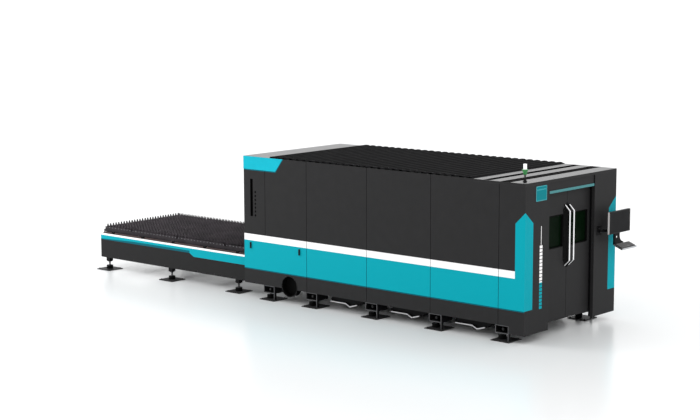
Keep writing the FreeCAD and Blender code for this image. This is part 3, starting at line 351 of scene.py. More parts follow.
def makeDust():
    # Light dust that lies on faces that look up.
    tree, start, end = startGroup("dust", ("Mask",), Position=None, Normal=None, Amount=0.3,
                                  Patch_scale=3.0)
    parts = split(tree, start.outputs["Normal"])
    up = calc(tree, "MAXIMUM", parts["Z"], 0.0)
    patches = noise(tree, start.outputs["Position"], start.outputs["Patch scale"], 6.0, 0.62)
    fine = noise(tree, start.outputs["Position"], 160.0, 2.0)
    mix = calc(tree, "MULTIPLY", patches, calc(tree, "ADD", fine, 0.4))
    mask = calc(tree, "MULTIPLY", calc(tree, "MULTIPLY", up, mix), start.outputs["Amount"])
    tree.links.new(mask, end.inputs["Mask"])
    return tree


def makeBrushing():
    # Long fine scratches: noise stretched along one direction.
    tree, start, end = startGroup("brushing", ("Height", "Roughness", "Shade"), Position=None,
                                  Stretch=(2.0, 400.0, 400.0), Roughness=0.3, Change=0.2)
    scaled = tree.nodes.new("ShaderNodeVectorMath")
    scaled.operation = "MULTIPLY"
    tree.links.new(start.outputs["Position"], scaled.inputs[0])
    tree.links.new(start.outputs["Stretch"], scaled.inputs[1])
    lines = noise(tree, scaled.outputs["Vector"], 1.0, 3.0, 0.6)
    patches = noise(tree, start.outputs["Position"], 9.0, 3.0)
    swing = calc(tree, "MULTIPLY", calc(tree, "SUBTRACT", lines, 0.5), start.outputs["Change"])
    tree.links.new(calc(tree, "ADD", start.outputs["Roughness"], swing), end.inputs["Roughness"])
    tree.links.new(lines, end.inputs["Height"])
    tree.links.new(patches, end.inputs["Shade"])
    return tree


# Painted bands: heights from the floor, widths from the nearest edge of the cabin.
# lip is the height of the painted shadow line under the band and round the cap.
bands = dict(groove=0.05, low=0.467, high=0.908, column=0.164, frontColumn=0.19, shoulder=1.672, peak=1.833,
             capLow=2.030, capShort=0.681, capLean=0.762, skin=0.0026, lip=0.016, reveal=0.05)


def makeCabinBands():
    # Turquoise and white areas of the cabin, the cap, a painted shadow line under the band and round the cap,
    # and the faces inside seams painted black as shade, as masks of place.
    tree, start, end = startGroup("cabinBands", ("Turquoise", "White", "Cap", "Deep", "Folded"),
                                  Position=None, Tail=tailX, Door=doorX, Centre=centreY,
                                  Half_width=halfWidth, Band_low=bands["low"], Band_high=bands["high"],
                                  Stripe_high=stripeTop, Column=bands["column"],
                                  Front_column=bands["frontColumn"], Shoulder=bands["shoulder"],
                                  Peak=bands["peak"], Cap_low=bands["capLow"], Cap_short=bands["capShort"],
                                  Cap_lean=bands["capLean"])
    parts = split(tree, start.outputs["Position"])
    x, z = parts["X"], parts["Z"]
    value = start.outputs
    across = calc(tree, "ABSOLUTE", calc(tree, "SUBTRACT", parts["Y"], value["Centre"]))
    outer = calc(tree, "SUBTRACT", value["Half width"], bands["skin"])
    onSide = calc(tree, "GREATER_THAN", across, outer)
    onFront = calc(tree, "GREATER_THAN", x, calc(tree, "SUBTRACT", value["Door"], bands["skin"]))
    band = allOf(tree, onSide, within(tree, z, value["Band low"], value["Band high"]))
    columnX = calc(tree, "SUBTRACT", value["Door"], value["Column"])
    beforeColumn = calc(tree, "LESS_THAN", x, columnX)
    stripe = allOf(tree, onSide, beforeColumn, within(tree, z, value["Band high"], value["Stripe high"]))
    rise = calc(tree, "SUBTRACT", value["Peak"], value["Shoulder"])

    def slopedTop(run, width):
        share = calc(tree, "DIVIDE", run, width)
        return calc(tree, "MULTIPLY_ADD", share, rise, value["Shoulder"])

    sideRun = calc(tree, "SUBTRACT", x, columnX)
    sideColumn = allOf(tree, onSide, calc(tree, "GREATER_THAN", sideRun, 0.0),
                       within(tree, z, value["Band low"], slopedTop(sideRun, value["Column"])))
    frontStart = calc(tree, "SUBTRACT", value["Half width"], value["Front column"])
    frontRun = calc(tree, "SUBTRACT", across, frontStart)
    frontColumn = allOf(tree, onFront, calc(tree, "GREATER_THAN", frontRun, 0.0),
                        within(tree, z, value["Band low"], slopedTop(frontRun, value["Front column"])))
    capEdge = calc(tree, "MULTIPLY_ADD", calc(tree, "SUBTRACT", z, value["Cap low"]), value["Cap lean"],
                   calc(tree, "ADD", value["Tail"], value["Cap short"]))
    cap = allOf(tree, onSide, calc(tree, "GREATER_THAN", z, value["Cap low"]),
                calc(tree, "LESS_THAN", x, capEdge))
    # The Deep area is a painted shadow: a thin dark teal line under the turquoise band and along the cap's
    # lower and slanted edges.
    lip = bands["lip"]
    underBand = within(tree, z, bands["low"] - lip, bands["low"])
    aboveLip = calc(tree, "GREATER_THAN", z, bands["capLow"] - lip)
    capLip = allOf(tree, aboveLip, calc(tree, "LESS_THAN", x, calc(tree, "ADD", capEdge, lip)))
    tree.links.new(allOf(tree, onSide, anyOf(tree, underBand, capLip)), end.inputs["Deep"])
    # Every face off the cabin's outer skin, inside seams and folds, is painted black as shade; the reveal by
    # the door is left out, where light reaches in.
    onSkin = anyOf(tree, onSide, onFront, calc(tree, "LESS_THAN", x, tailX + bands["skin"]),
                   calc(tree, "GREATER_THAN", z, cabinTop - bands["skin"]))
    reveal = allOf(tree, calc(tree, "GREATER_THAN", x, doorX - bands["reveal"]),
                   calc(tree, "LESS_THAN", z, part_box("header_panel")[0].z),
                   calc(tree, "LESS_THAN", across, halfWidth - bands["reveal"]))
    tree.links.new(calc(tree, "SUBTRACT", 1.0, anyOf(tree, onSkin, reveal)), end.inputs["Folded"])
    tree.links.new(anyOf(tree, band, sideColumn, frontColumn), end.inputs["Turquoise"])
    tree.links.new(stripe, end.inputs["White"])
    tree.links.new(cap, end.inputs["Cap"])
    return tree


# Plain bars up the near pillar's door face: a row of turquoise ones, a row of white ones, a thin line.
accent = dict(centre=0.765, half=0.033, low=0.45, change=0.82, high=1.35, tip=1.61, pitch=0.05, fill=0.8,
              lineHalf=0.006)


def makeAccentBars():
    tree, start, end = startGroup("accentBars", ("Turquoise", "White"), Position=None,
                                  Centre=centreY - accent["centre"], Half=accent["half"], Low=accent["low"],
                                  Change=accent["change"], High=accent["high"], Tip=accent["tip"],
                                  Pitch=accent["pitch"], Fill=accent["fill"])
    parts = split(tree, start.outputs["Position"])
    value = start.outputs
    z = parts["Z"]
    away = calc(tree, "ABSOLUTE", calc(tree, "SUBTRACT", parts["Y"], value["Centre"]))
    onFront = calc(tree, "GREATER_THAN", parts["X"], doorX - bands["skin"])
    inBars = allOf(tree, onFront, calc(tree, "LESS_THAN", away, value["Half"]))
    phase = calc(tree, "FRACT", calc(tree, "DIVIDE", calc(tree, "SUBTRACT", z, value["Low"]), value["Pitch"]))
    bar = calc(tree, "LESS_THAN", phase, value["Fill"])
    low = allOf(tree, inBars, bar, within(tree, z, value["Low"], value["Change"]))
    high = allOf(tree, inBars, bar, within(tree, z, value["Change"], value["High"]))
    line = allOf(tree, onFront, calc(tree, "LESS_THAN", away, accent["lineHalf"]),
                 within(tree, z, value["High"], value["Tip"]))
    tree.links.new(low, end.inputs["Turquoise"])
    tree.links.new(anyOf(tree, high, line), end.inputs["White"])
    return tree


# liftLow, liftHigh and liftRun set the top edge of the painted shadow line under the skirt's band.
skirt = dict(whiteLow=0.590, bandLow=0.512, deepLow=0.458, stepStart=1.400, stepRun=0.100, skin=0.0026,
             liftLow=0.524, liftHigh=0.550, liftRun=0.8)


def makeSkirtBands():
    # The table skirt's stripe and band, which steps down a little before the cabin, and a painted shadow line
    # along the band's lower edge before the step, whose top rises along the skirt's first stretch.
    lowCorner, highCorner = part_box("table_skirt_near")
    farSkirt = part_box("table_skirt_far")[1].y
    tree, start, end = startGroup("skirtBands", ("Turquoise", "White", "Deep"), Position=None,
                                  Step=highCorner.x - skirt["stepStart"], Step_run=skirt["stepRun"],
                                  Stripe_low=skirt["whiteLow"], Band_low=skirt["bandLow"],
                                  Deep_low=skirt["deepLow"])
    parts = split(tree, start.outputs["Position"])
    value = start.outputs
    x, y, z = parts["X"], parts["Y"], parts["Z"]
    onSide = anyOf(tree, calc(tree, "LESS_THAN", y, lowCorner.y + skirt["skin"]),
                   calc(tree, "GREATER_THAN", y, farSkirt - skirt["skin"]))
    share = clamped(tree, calc(tree, "DIVIDE", calc(tree, "SUBTRACT", x, value["Step"]), value["Step run"]))
    drop = calc(tree, "SUBTRACT", value["Deep low"], value["Band low"])
    edge = calc(tree, "MULTIPLY_ADD", share, drop, value["Band low"])
    lift = clamped(tree, calc(tree, "DIVIDE", calc(tree, "SUBTRACT", x, lowCorner.x), skirt["liftRun"]))
    raised = calc(tree, "MULTIPLY_ADD", lift, skirt["liftHigh"] - skirt["liftLow"],
                  skirt["liftLow"])
    beforeStep = calc(tree, "LESS_THAN", x, value["Step"])
    deep = allOf(tree, onSide, beforeStep, within(tree, z, edge, raised))
    tree.links.new(deep, end.inputs["Deep"])
    tree.links.new(allOf(tree, onSide, within(tree, z, edge, value["Stripe low"])), end.inputs["Turquoise"])
    aboveStripe = calc(tree, "GREATER_THAN", z, value["Stripe low"])
    tree.links.new(allOf(tree, onSide, aboveStripe), end.inputs["White"])
    return tree


# The cap turquoise is lighter than the band's turquoise as painted light on the high cap plates; the deep
# turquoise is a painted shadow line; the groove tone is painted shade in the roof's grooves.
tones = dict(dark=(0.0225, 0.0222, 0.0228), skirtDark=(0.017, 0.0168, 0.0172), black=(0.004, 0.004, 0.0045),
             groove=(0.007, 0.007, 0.0073), turquoise=(0.0, 0.33, 0.40), litCapTurquoise=(0.004, 0.41, 0.52),
             shadowTurquoise=(0.0, 0.11, 0.145), white=(0.90, 0.885, 0.885), dust=(0.16, 0.155, 0.15),
             bareEdge=(0.30, 0.30, 0.31), cutEdge=(0.11, 0.11, 0.115))


def coatedPaint(name, colour, roughness=0.42, wear=0.03, dustAmount=0.05, specular=0.06,
                zones=None):
    # Powder coat with rubbed edges and settled dust; zones adds painted areas over the base colour.
    material, shader = newMaterial(name, colour, roughness)
    tree = material.node_tree
    where = place(material)
    shader.inputs["Specular IOR Level"].default_value = specular
    peel = useGroup(material, groups["paint"], Position=where, Roughness=roughness)
    tint = blendColours(tree, peel.outputs["Shade"], shade(colour, 0.9),
                        shade(colour, 1.12))
    if zones:
        tint = zones(material, where, tint)
    rub = useGroup(material, groups["wear"], Position=where, Amount=wear)
    tint = blendColours(tree, rub.outputs["Mask"], tint, tones["bareEdge"])
    facing = tree.nodes.new("ShaderNodeNewGeometry").outputs["Normal"]
    settled = useGroup(material, groups["dust"], Position=where, Normal=facing, Amount=dustAmount)
    tint = blendColours(tree, settled.outputs["Mask"], tint, tones["dust"])
    relief = bump(material, peel.outputs["Height"], 0.25, 0.0006)
    return dress(material, shader, tint, peel.outputs["Roughness"], relief)


def cabinZones(material, where, tint):
    # The dark teal line is a painted shadow, the cap's lighter turquoise is painted light, and the faces
    # inside seams are painted black as shade.
    tree = material.node_tree
    areas = useGroup(material, groups["cabin"], Position=where)
    for area, tone in (("Deep", "shadowTurquoise"), ("Turquoise", "turquoise"), ("White", "white"),
                       ("Cap", "litCapTurquoise"), ("Folded", "black")):
        tint = blendColours(tree, areas.outputs[area], tint, tones[tone])
    return tint


def pillarZones(material, where, tint):
    tree = material.node_tree
    tint = cabinZones(material, where, tint)
    bars = useGroup(material, groups["accent"], Position=where)
    tint = blendColours(tree, bars.outputs["Turquoise"], tint, tones["turquoise"])
    return blendColours(tree, bars.outputs["White"], tint, tones["white"])


def roofZones(material, where, tint):
    # The covers' upright faces are the cabin's dark grey and their tops are a lighter grey that is a painted
    # sheen.
    # The grooves' walls are painted near black and don't shine, as painted shade in the grooves; the narrow
    # cover between them gets the same near black.
    tree = material.node_tree
    facing = split(tree, tree.nodes.new("ShaderNodeNewGeometry").outputs["True Normal"])
    upright = calc(tree, "LESS_THAN", facing["Z"], 0.5)
    parts = split(tree, where)
    low, high = min(solidBoxes("roof_cross_covers"), key=lambda box: box[1].x - box[0].x)
    narrow = within(tree, parts["X"], low.x - bands["skin"], high.x + bands["skin"])
    tint = blendColours(tree, anyOf(tree, upright, narrow), tint, tones["dark"])
    painted = cabinZones(material, where, tint)
    across = calc(tree, "GREATER_THAN", calc(tree, "ABSOLUTE", facing["X"]), 0.5)
    inside = within(tree, parts["X"], tailX + bands["groove"], doorX - bands["groove"])
    top = calc(tree, "SUBTRACT", 1.0, upright)
    unlit = anyOf(tree, allOf(tree, narrow, top), allOf(tree, upright, across, inside))
    shader = next(node for node in tree.nodes if node.type == "BSDF_PRINCIPLED")
    gloss = shader.inputs["Specular IOR Level"]
    tree.links.new(calc(tree, "MULTIPLY_ADD", unlit, -gloss.default_value, gloss.default_value), gloss)
    return blendColours(tree, unlit, painted, tones["groove"])


def doorZones(material, where, tint):
    # The raised plate that the grip stands on is black.
    tree = material.node_tree
    parts = split(tree, where)
    plate = calc(tree, "GREATER_THAN", parts["X"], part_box("door_leaf_near")[1].x - 0.003)
    return blendColours(tree, plate, tint, tones["black"])


def bracketZones(material, where, tint):
    # The cut edges at a foot bracket's open front are paler than its inside.
    tree = material.node_tree
    parts = split(tree, where)
    low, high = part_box("foot_brackets")
    edges = anyOf(tree, calc(tree, "LESS_THAN", parts["Y"], low.y + bands["skin"]),
                  calc(tree, "GREATER_THAN", parts["Y"], high.y - bands["skin"]))
    return blendColours(tree, edges, tint, tones["cutEdge"])


def drawerShadeZones(material, where, tint):
    # Only the drawer's folded pull shows its bright zinc; the tray behind it is painted black as the shade
    # under the machine.
    tree = material.node_tree
    parts = split(tree, where)
    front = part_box("slag_drawer_1")[0].y + 0.005
    behind = calc(tree, "GREATER_THAN", parts["Y"], front)
    return blendColours(tree, behind, tint, tones["black"])


def skirtZones(material, where, tint):
    # The deep turquoise is a painted shadow line under the bright turquoise of the band.
    tree = material.node_tree
    areas = useGroup(material, groups["skirt"], Position=where)
    for area, tone in (("Turquoise", "turquoise"), ("Deep", "shadowTurquoise"), ("White", "white")):
        tint = blendColours(tree, areas.outputs[area], tint, tones[tone])
    return tint


def brushedMetal(name, colour, roughness, stretch=(2.0, 400.0, 400.0), metallic=1.0, change=0.2, relief=0.1):
    material, shader = newMaterial(name, colour, roughness, metallic)
    tree = material.node_tree
    where = place(material)
    brushed = useGroup(material, groups["brushing"], Position=where, Stretch=stretch,
                       Roughness=roughness, Change=change)
    tint = blendColours(tree, brushed.outputs["Shade"], shade(colour, 0.82),
                        shade(colour, 1.15))
    lines = bump(material, brushed.outputs["Height"], relief, 0.0004)
    return dress(material, shader, tint, brushed.outputs["Roughness"], lines)


def slatSteel(name, depth=1.0, tips=()):
    # Mill scale with straw and violet heat tints, pale spatter, and paler tips at given heights.
    material, shader = newMaterial(name, (0.03, 0.026, 0.028), 0.5, 0.35)
    tree = material.node_tree
    where = place(material)
    shader.inputs["Specular IOR Level"].default_value = 0.5 * depth
    patches = noise(tree, where, 5.0, 5.0, 0.6)
    ramp = tree.nodes.new("ShaderNodeValToRGB")
    ramp.color_ramp.elements[0].position = 0.32
    ramp.color_ramp.elements[0].color = (*shade((0.030, 0.027, 0.030), depth), 1)
    ramp.color_ramp.elements[1].position = 0.72
    ramp.color_ramp.elements[1].color = (*shade((0.085, 0.072, 0.080), depth), 1)
    warm = ramp.color_ramp.elements.new(0.5)
    warm.color = (*shade((0.055, 0.045, 0.054), depth), 1)
    tree.links.new(patches, ramp.inputs[0])
    spatter = calc(tree, "GREATER_THAN", noise(tree, where, 210.0, 3.0, 0.7), 0.66)
    tint = blendColours(tree, calc(tree, "MULTIPLY", spatter, 0.5), ramp.outputs["Color"],
                       shade((0.17, 0.155, 0.16), depth))
    parts = split(tree, where)
    for top in tips:
        pale = within(tree, parts["Z"], top - 0.016, top + 0.01)
        tint = blendColours(tree, calc(tree, "MULTIPLY", pale, 0.3), tint, (0.16, 0.15, 0.155))
    rough = bump(material, noise(tree, where, 260.0, 4.0, 0.6), 0.4, 0.0008)
    return dress(material, shader, tint, calc(tree, "MULTIPLY_ADD", patches, 0.3, 0.38), rough)


def mouldedPlastic(name, colour, roughness=0.45, scale=900.0, relief=0.2, specular=0.3):
    material, shader = newMaterial(name, colour, roughness)
    shader.inputs["Specular IOR Level"].default_value = specular
    tree = material.node_tree
    where = place(material)
    grain = noise(tree, where, scale, 2.0)
    patches = noise(tree, where, 14.0, 3.0)
    tint = blendColours(tree, patches, shade(colour, 0.88), shade(colour, 1.1))
    gloss = calc(tree, "MULTIPLY_ADD", patches, 0.12, roughness - 0.06)
    return dress(material, shader, tint, gloss, bump(material, grain, relief, 0.0003))


def darkGlass(name, colour, roughness=0.12):
    # Laser safety sheet: nearly black green, with faint wipe marks in its gloss.
    material, shader = newMaterial(name, colour, roughness)
    tree = material.node_tree
    where = place(material)
    smear = noise(tree, where, 6.0, 5.0, 0.6)
    tree.links.new(calc(tree, "MULTIPLY_ADD", smear, 0.12, roughness - 0.05), shader.inputs["Roughness"])
    tint = blendColours(tree, smear, shade(colour, 0.8), shade(colour, 1.25))
    tree.links.new(tint, shader.inputs["Base Color"])
    shader.inputs["Specular IOR Level"].default_value = 0.015
    return material


def lampLens(name, colour, glow, strength, rings=260.0):
    # Ribbed lens: rings round the tier, lit from within.
    material, shader = newMaterial(name, colour, 0.22)
    tree = material.node_tree
    parts = split(tree, place(material))
    ring = calc(tree, "SINE", calc(tree, "MULTIPLY", parts["Z"], rings * math.tau))
    tint = blendColours(tree, calc(tree, "MULTIPLY_ADD", ring, 0.5, 0.5), shade(colour, 0.86), colour)
    tree.links.new(tint, shader.inputs["Base Color"])
    ribs = bump(material, ring, 0.4, 0.0006)
    tree.links.new(ribs, shader.inputs["Normal"])
    shader.inputs["Emission Color"].default_value = (*glow, 1.0)
    shader.inputs["Emission Strength"].default_value = strength
    return material


caseSkin = dict(silver=(0.62, 0.60, 0.59), silverDepth=0.028)


def monitorCase(name):
    # Black case whose thin side walls are silver at the front; their rear strip stays black as a painted
    # shadow beside the hood.
    material, shader = newMaterial(name, (0.012, 0.012, 0.013), 0.4)
    shader.inputs["Specular IOR Level"].default_value = 0.1
    tree = material.node_tree
    where = place(material)
    facing = split(tree, tree.nodes.new("ShaderNodeTexCoord").outputs["Normal"])
    sides = calc(tree, "GREATER_THAN", calc(tree, "ABSOLUTE", facing["Y"]), 0.7)
    spot = split(tree, where)
    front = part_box("monitor")[1].x
    forward = calc(tree, "GREATER_THAN", spot["X"], front - caseSkin["silverDepth"])
    sides = calc(tree, "MULTIPLY", sides, forward)
    grain = noise(tree, where, 700.0, 2.0)
    dark = blendColours(tree, grain, (0.010, 0.010, 0.011), (0.017, 0.017, 0.018))
    tint = blendColours(tree, sides, dark, caseSkin["silver"])
    gloss = calc(tree, "MULTIPLY_ADD", grain, 0.15, 0.33)
    return dress(material, shader, tint, gloss, bump(material, grain, 0.15, 0.0003))


groups = dict(paint=makePaintGrain(), wear=makeEdgeWear(), dust=makeDust(), brushing=makeBrushing(),
              cabin=makeCabinBands(), accent=makeAccentBars(), skirt=makeSkirtBands())
setCamera()
setStudio()
print("stage: camera, floor and light set")

finish = dict(
    cabinPaint=coatedPaint("cabinPaint", tones["dark"], zones=cabinZones),
    pillarPaint=coatedPaint("pillarPaint", tones["dark"], zones=pillarZones),
    skirtPaint=coatedPaint("skirtPaint", tones["skirtDark"], zones=skirtZones),
    darkPaint=coatedPaint("darkPaint", tones["dark"]),
    blackPaint=coatedPaint("blackPaint", tones["black"], roughness=0.38, wear=0.12, dustAmount=0.06),
    slatPaint=coatedPaint("slatPaint", (0.0045, 0.0045, 0.005), roughness=0.65, specular=0.015,
                          dustAmount=0.01),
    # The roof paint's light grey is a painted sheen on the covers' dark tops.
    roofSheenPaint=coatedPaint("roofSheenPaint", (0.235, 0.235, 0.238), roughness=0.36, dustAmount=0.2,
                          zones=roofZones),
    bedPaint=coatedPaint("bedPaint", (0.07, 0.072, 0.076), roughness=0.5, dustAmount=0.6, wear=0.5),
    drawerSteel=coatedPaint("drawerSteel", (0.62, 0.62, 0.63), roughness=0.35, zones=drawerShadeZones),
    lightBar=mouldedPlastic("lightBar", (0.045, 0.215, 0.23), 0.4),
    plaquePaint=coatedPaint("plaquePaint", (0.0, 0.20, 0.235), roughness=0.35, wear=0.3),
    plaqueEdge=coatedPaint("plaqueEdge", (0.02, 0.34, 0.38), roughness=0.35, wear=0.3),
    bareSteel=brushedMetal("bareSteel", (0.30, 0.30, 0.31), 0.34, (3.0, 300.0, 300.0)),
    footSteel=brushedMetal("footSteel", (0.060, 0.060, 0.063), 0.42, (60.0, 60.0, 300.0), 0.6),
    warmSteel=brushedMetal("warmSteel", (0.13, 0.09, 0.085), 0.42, (3.0, 300.0, 300.0), 0.8),
    chrome=brushedMetal("chrome", (0.86, 0.86, 0.87), 0.16, (600.0, 600.0, 4.0), change=0.08, relief=0.03),
    aluminium=brushedMetal("aluminium", (0.50, 0.51, 0.53), 0.36, (300.0, 3.0, 300.0)),
    slatSteel=slatSteel("slatSteel", tips=(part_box("upper_pallet_slats")[1].z,
                                           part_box("lower_pallet_slats")[1].z)),
    palletSteel=slatSteel("palletSteel", 0.45),
    doorPaint=coatedPaint("doorPaint", tones["dark"], zones=doorZones),
    # The cap plates take the lighter turquoise, which is painted light.
    capPaint=coatedPaint("capPaint", tones["litCapTurquoise"]),
    bracketPaint=coatedPaint("bracketPaint", (0.008, 0.008, 0.0085), roughness=0.4, zones=bracketZones),
    platePaint=coatedPaint("platePaint", (0.024, 0.024, 0.025), roughness=0.45),
    # Near black with almost no shine: the dust collar's dark paint, made darker as painted shade in its bore,
    # and the black of the shade sheets.
    collarAndShadeBlack=coatedPaint("collarAndShadeBlack", (0.003, 0.003, 0.003), roughness=0.6, specular=0.02,
                            dustAmount=0.0),
    safetyGlass=darkGlass("safetyGlass", (0.0016, 0.0062, 0.0022), 0.3),
    screenGlass=darkGlass("screenGlass", (0.021, 0.021, 0.022), 0.42),
    lampGreen=lampLens("lampGreen", (0.01, 0.17, 0.03), (0.0, 0.12, 0.02), 0.2),
    lampWhite=lampLens("lampWhite", (0.9, 0.9, 0.92), (1.0, 1.0, 1.0), 0.35),
    monitorCase=monitorCase("monitorCase"),
    blackPlastic=mouldedPlastic("blackPlastic", (0.012, 0.012, 0.013)),
    greyPlastic=mouldedPlastic("greyPlastic", (0.035, 0.034, 0.036), 0.5),
    keyPlastic=mouldedPlastic("keyPlastic", (0.12, 0.118, 0.12), 0.5),
    rubber=mouldedPlastic("rubber", (0.004, 0.004, 0.004), 0.7, 500.0, 0.35, 0.04),
    blackScrew=brushedMetal("blackScrew", (0.035, 0.035, 0.037), 0.4, (60.0, 60.0, 60.0), 0.7),
    zincScrew=brushedMetal("zincScrew", (0.20, 0.20, 0.21), 0.36, (60.0, 60.0, 60.0), 0.8),
)

# Which finish each record slot takes, then the nodes that differ from their slot.
slotFinish = dict(dark_paint="darkPaint", black_paint="blackPaint", roof_paint="roofSheenPaint",
                  bed_paint="bedPaint", light_bar="lightBar", zinc="drawerSteel", bare_steel="bareSteel",
                  slat_steel="slatSteel", warm_steel="warmSteel", stainless="chrome",
                  safety_glass="safetyGlass", lamp_green="lampGreen", lamp_white="lampWhite",
                  black_plastic="blackPlastic", aluminium="aluminium")
nodeFinish = dict(pillar_near="pillarPaint", pillar_far="cabinPaint", table_skirt_near="skirtPaint",
                  table_skirt_far="skirtPaint", roof_slats="slatPaint", monitor="monitorCase",
                  levelling_feet="footSteel", door_leaf_near="doorPaint", door_leaf_far="doorPaint",
                  upper_pallet_frame="palletSteel", lower_pallet_frame="palletSteel",
                  foot_brackets="bracketPaint", ground_plates="platePaint", dust_collar="collarAndShadeBlack")


def dressNodes():
    for row in frame["record"]["subparts"]:
        name = row["node"]
        key = slotFinish[row["material_slot"]]
        if name.startswith(("near_", "far_side")):
            key = "cabinPaint"
        key = nodeFinish.get(name, key)
        mesh = nodes[name].data
        mesh.materials.clear()
        mesh.materials.append(finish[key])


dressNodes()
print("stage: finishes on the", len(nodes), "CAD nodes")


def finishPiece(piece, bodyName, slotName, *replaced):
    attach(piece, bodyName)
    if replaced:
        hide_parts(*replaced)


def newPiece(name, shape, finishName, bodyName, slotName, bevel=0.0, segments=2):
    # A bmesh becomes an object, with its corners rounded by a Bevel modifier where asked.
    bmesh.ops.remove_doubles(shape, verts=shape.verts, dist=1e-6)
    bmesh.ops.recalc_face_normals(shape, faces=shape.faces)
    mesh = bpy.data.meshes.new(name)
    shape.to_mesh(mesh)
    shape.free()
    mesh.materials.append(finish[finishName])
    piece = bpy.data.objects.new(name, mesh)
    bpy.context.scene.collection.objects.link(piece)
    if bevel:
        modifier = piece.modifiers.new("rounded", "BEVEL")
        modifier.width = bevel
        modifier.segments = segments
        modifier.limit_method = "ANGLE"
        modifier.angle_limit = math.radians(35)
    finishPiece(piece, bodyName, slotName)
    return piece


def addBox(shape, low, high):
    corners = [shape.verts.new((x, y, z)) for x in (low[0], high[0]) for y in (low[1], high[1])
               for z in (low[2], high[2])]
    for face in ((0, 1, 3, 2), (4, 6, 7, 5), (0, 4, 5, 1), (2, 3, 7, 6), (0, 2, 6, 4), (1, 5, 7, 3)):
        shape.faces.new([corners[index] for index in face])


def roundedLoop(yRange, zRange, grow, radius, steps):
    # Points round a rectangle in Y and Z whose corners are arcs; grow moves it outwards.
    points = []
    bend = max(radius + grow, 0.0005)
    centres = ((yRange[1] - radius, zRange[1] - radius, 0), (yRange[0] + radius, zRange[1] - radius, 90),
               (yRange[0] + radius, zRange[0] + radius, 180), (yRange[1] - radius, zRange[0] + radius, 270))
    for y, z, first in centres:
        for step in range(steps + 1):
            turn = math.radians(first + 90 * step / steps)
            points.append((y + bend * math.cos(turn), z + bend * math.sin(turn)))
    return points


def joinLoops(shape, first, second):
    for index in range(len(first)):
        after = (index + 1) % len(first)
        shape.faces.new([first[index], first[after], second[after], second[index]])


def addPlate(shape, outline, back, front):
    # A plate across X with corners at (y, z).
    far = [shape.verts.new((back, y, z)) for y, z in outline]
    near = [shape.verts.new((front, y, z)) for y, z in outline]
    shape.faces.new(far)
    shape.faces.new(near)
    joinLoops(shape, far, near)


def addRing(shape, yRange, zRange, section, radius=0.012, steps=4):
    # A closed section of (grow, x) points swept round a rectangle.
    rings = []
    for grow, x in section:
        loop = roundedLoop(yRange, zRange, grow, radius, steps)
        rings.append([shape.verts.new((x, y, z)) for y, z in loop])
    for first, second in zip(rings, rings[1:] + rings[:1]):
        joinLoops(shape, first, second)


def addLathe(shape, centre, profile, axis=(0, 0, 1), segments=32, closed=False):
    # A profile of (radius, height) points turned about an axis, with flat ends unless it is closed.
    turn = Vector((0, 0, 1)).rotation_difference(Vector(axis)).to_matrix()
    rings = []
    for radius, height in profile:
        ring = []
        for index in range(segments):
            angle = math.tau * index / segments
            point = Vector((radius * math.cos(angle), radius * math.sin(angle), height))
            ring.append(shape.verts.new(Vector(centre) + turn @ point))
        rings.append(ring)
    for first, second in zip(rings, rings[1:]):
        joinLoops(shape, first, second)
    if closed:
        joinLoops(shape, rings[-1], rings[0])
    else:
        shape.faces.new(rings[0])
        shape.faces.new(rings[-1])


def rowPoints(start, stop, count):
    first, last = Vector(start), Vector(stop)
    return [first.lerp(last, index / (count - 1)) for index in range(count)]


def startTree(name, **inputs):
    # A geometry tree with named inputs, and the finish as its last one.
    tree = bpy.data.node_groups.new(name, "GeometryNodeTree")
    tree.is_modifier = True
    tree.interface.new_socket("Geometry", in_out="INPUT", socket_type="NodeSocketGeometry")
    addInputs(tree, inputs)
    tree.interface.new_socket("Finish", in_out="INPUT", socket_type="NodeSocketMaterial")
    tree.interface.new_socket("Geometry", in_out="OUTPUT", socket_type="NodeSocketGeometry")
    return tree, tree.nodes.new("NodeGroupInput"), tree.nodes.new("NodeGroupOutput")


def joined(tree, *parts):
    node = tree.nodes.new("GeometryNodeJoinGeometry")
    for part in reversed(parts):
        tree.links.new(part, node.inputs[0])
    return node.outputs[0]


def endTree(tree, start, end, geometry):
    whole = addNode(tree, "GeometryNodeRealizeInstances", Geometry=geometry)
    painted = addNode(tree, "GeometryNodeSetMaterial", Geometry=whole.outputs[0],
                      Material=start.outputs["Finish"])
    tree.links.new(painted.outputs[0], end.inputs[0])
    return tree


def bakeTree(tree, name, finishName, bodyName, slotName, points=(), replaced=(), move=None, **values):
    # Runs a tree on a cloud of points and keeps the plain mesh that comes out.
    cloud = bpy.data.meshes.new(name + "Points")
    cloud.from_pydata([tuple(point) for point in points], [], [])
    piece = bpy.data.objects.new(name, cloud)
    bpy.context.scene.collection.objects.link(piece)
    modifier = piece.modifiers.new("repeat", "NODES")
    modifier.node_group = tree
    sockets = {item.name: item.identifier for item in tree.interface.items_tree
               if item.item_type == "SOCKET" and item.in_out == "INPUT"}
    for label, value in values.items():
        modifier[sockets[label.replace("_", " ")]] = value
    modifier[sockets["Finish"]] = finish[finishName]
    mesh = bpy.data.meshes.new_from_object(piece.evaluated_get(bpy.context.evaluated_depsgraph_get()))
    piece.modifiers.remove(modifier)
    piece.data = mesh
    mesh.name = name
    if move:
        mesh.transform(move)
    finishPiece(piece, bodyName, slotName, *replaced)
    return piece


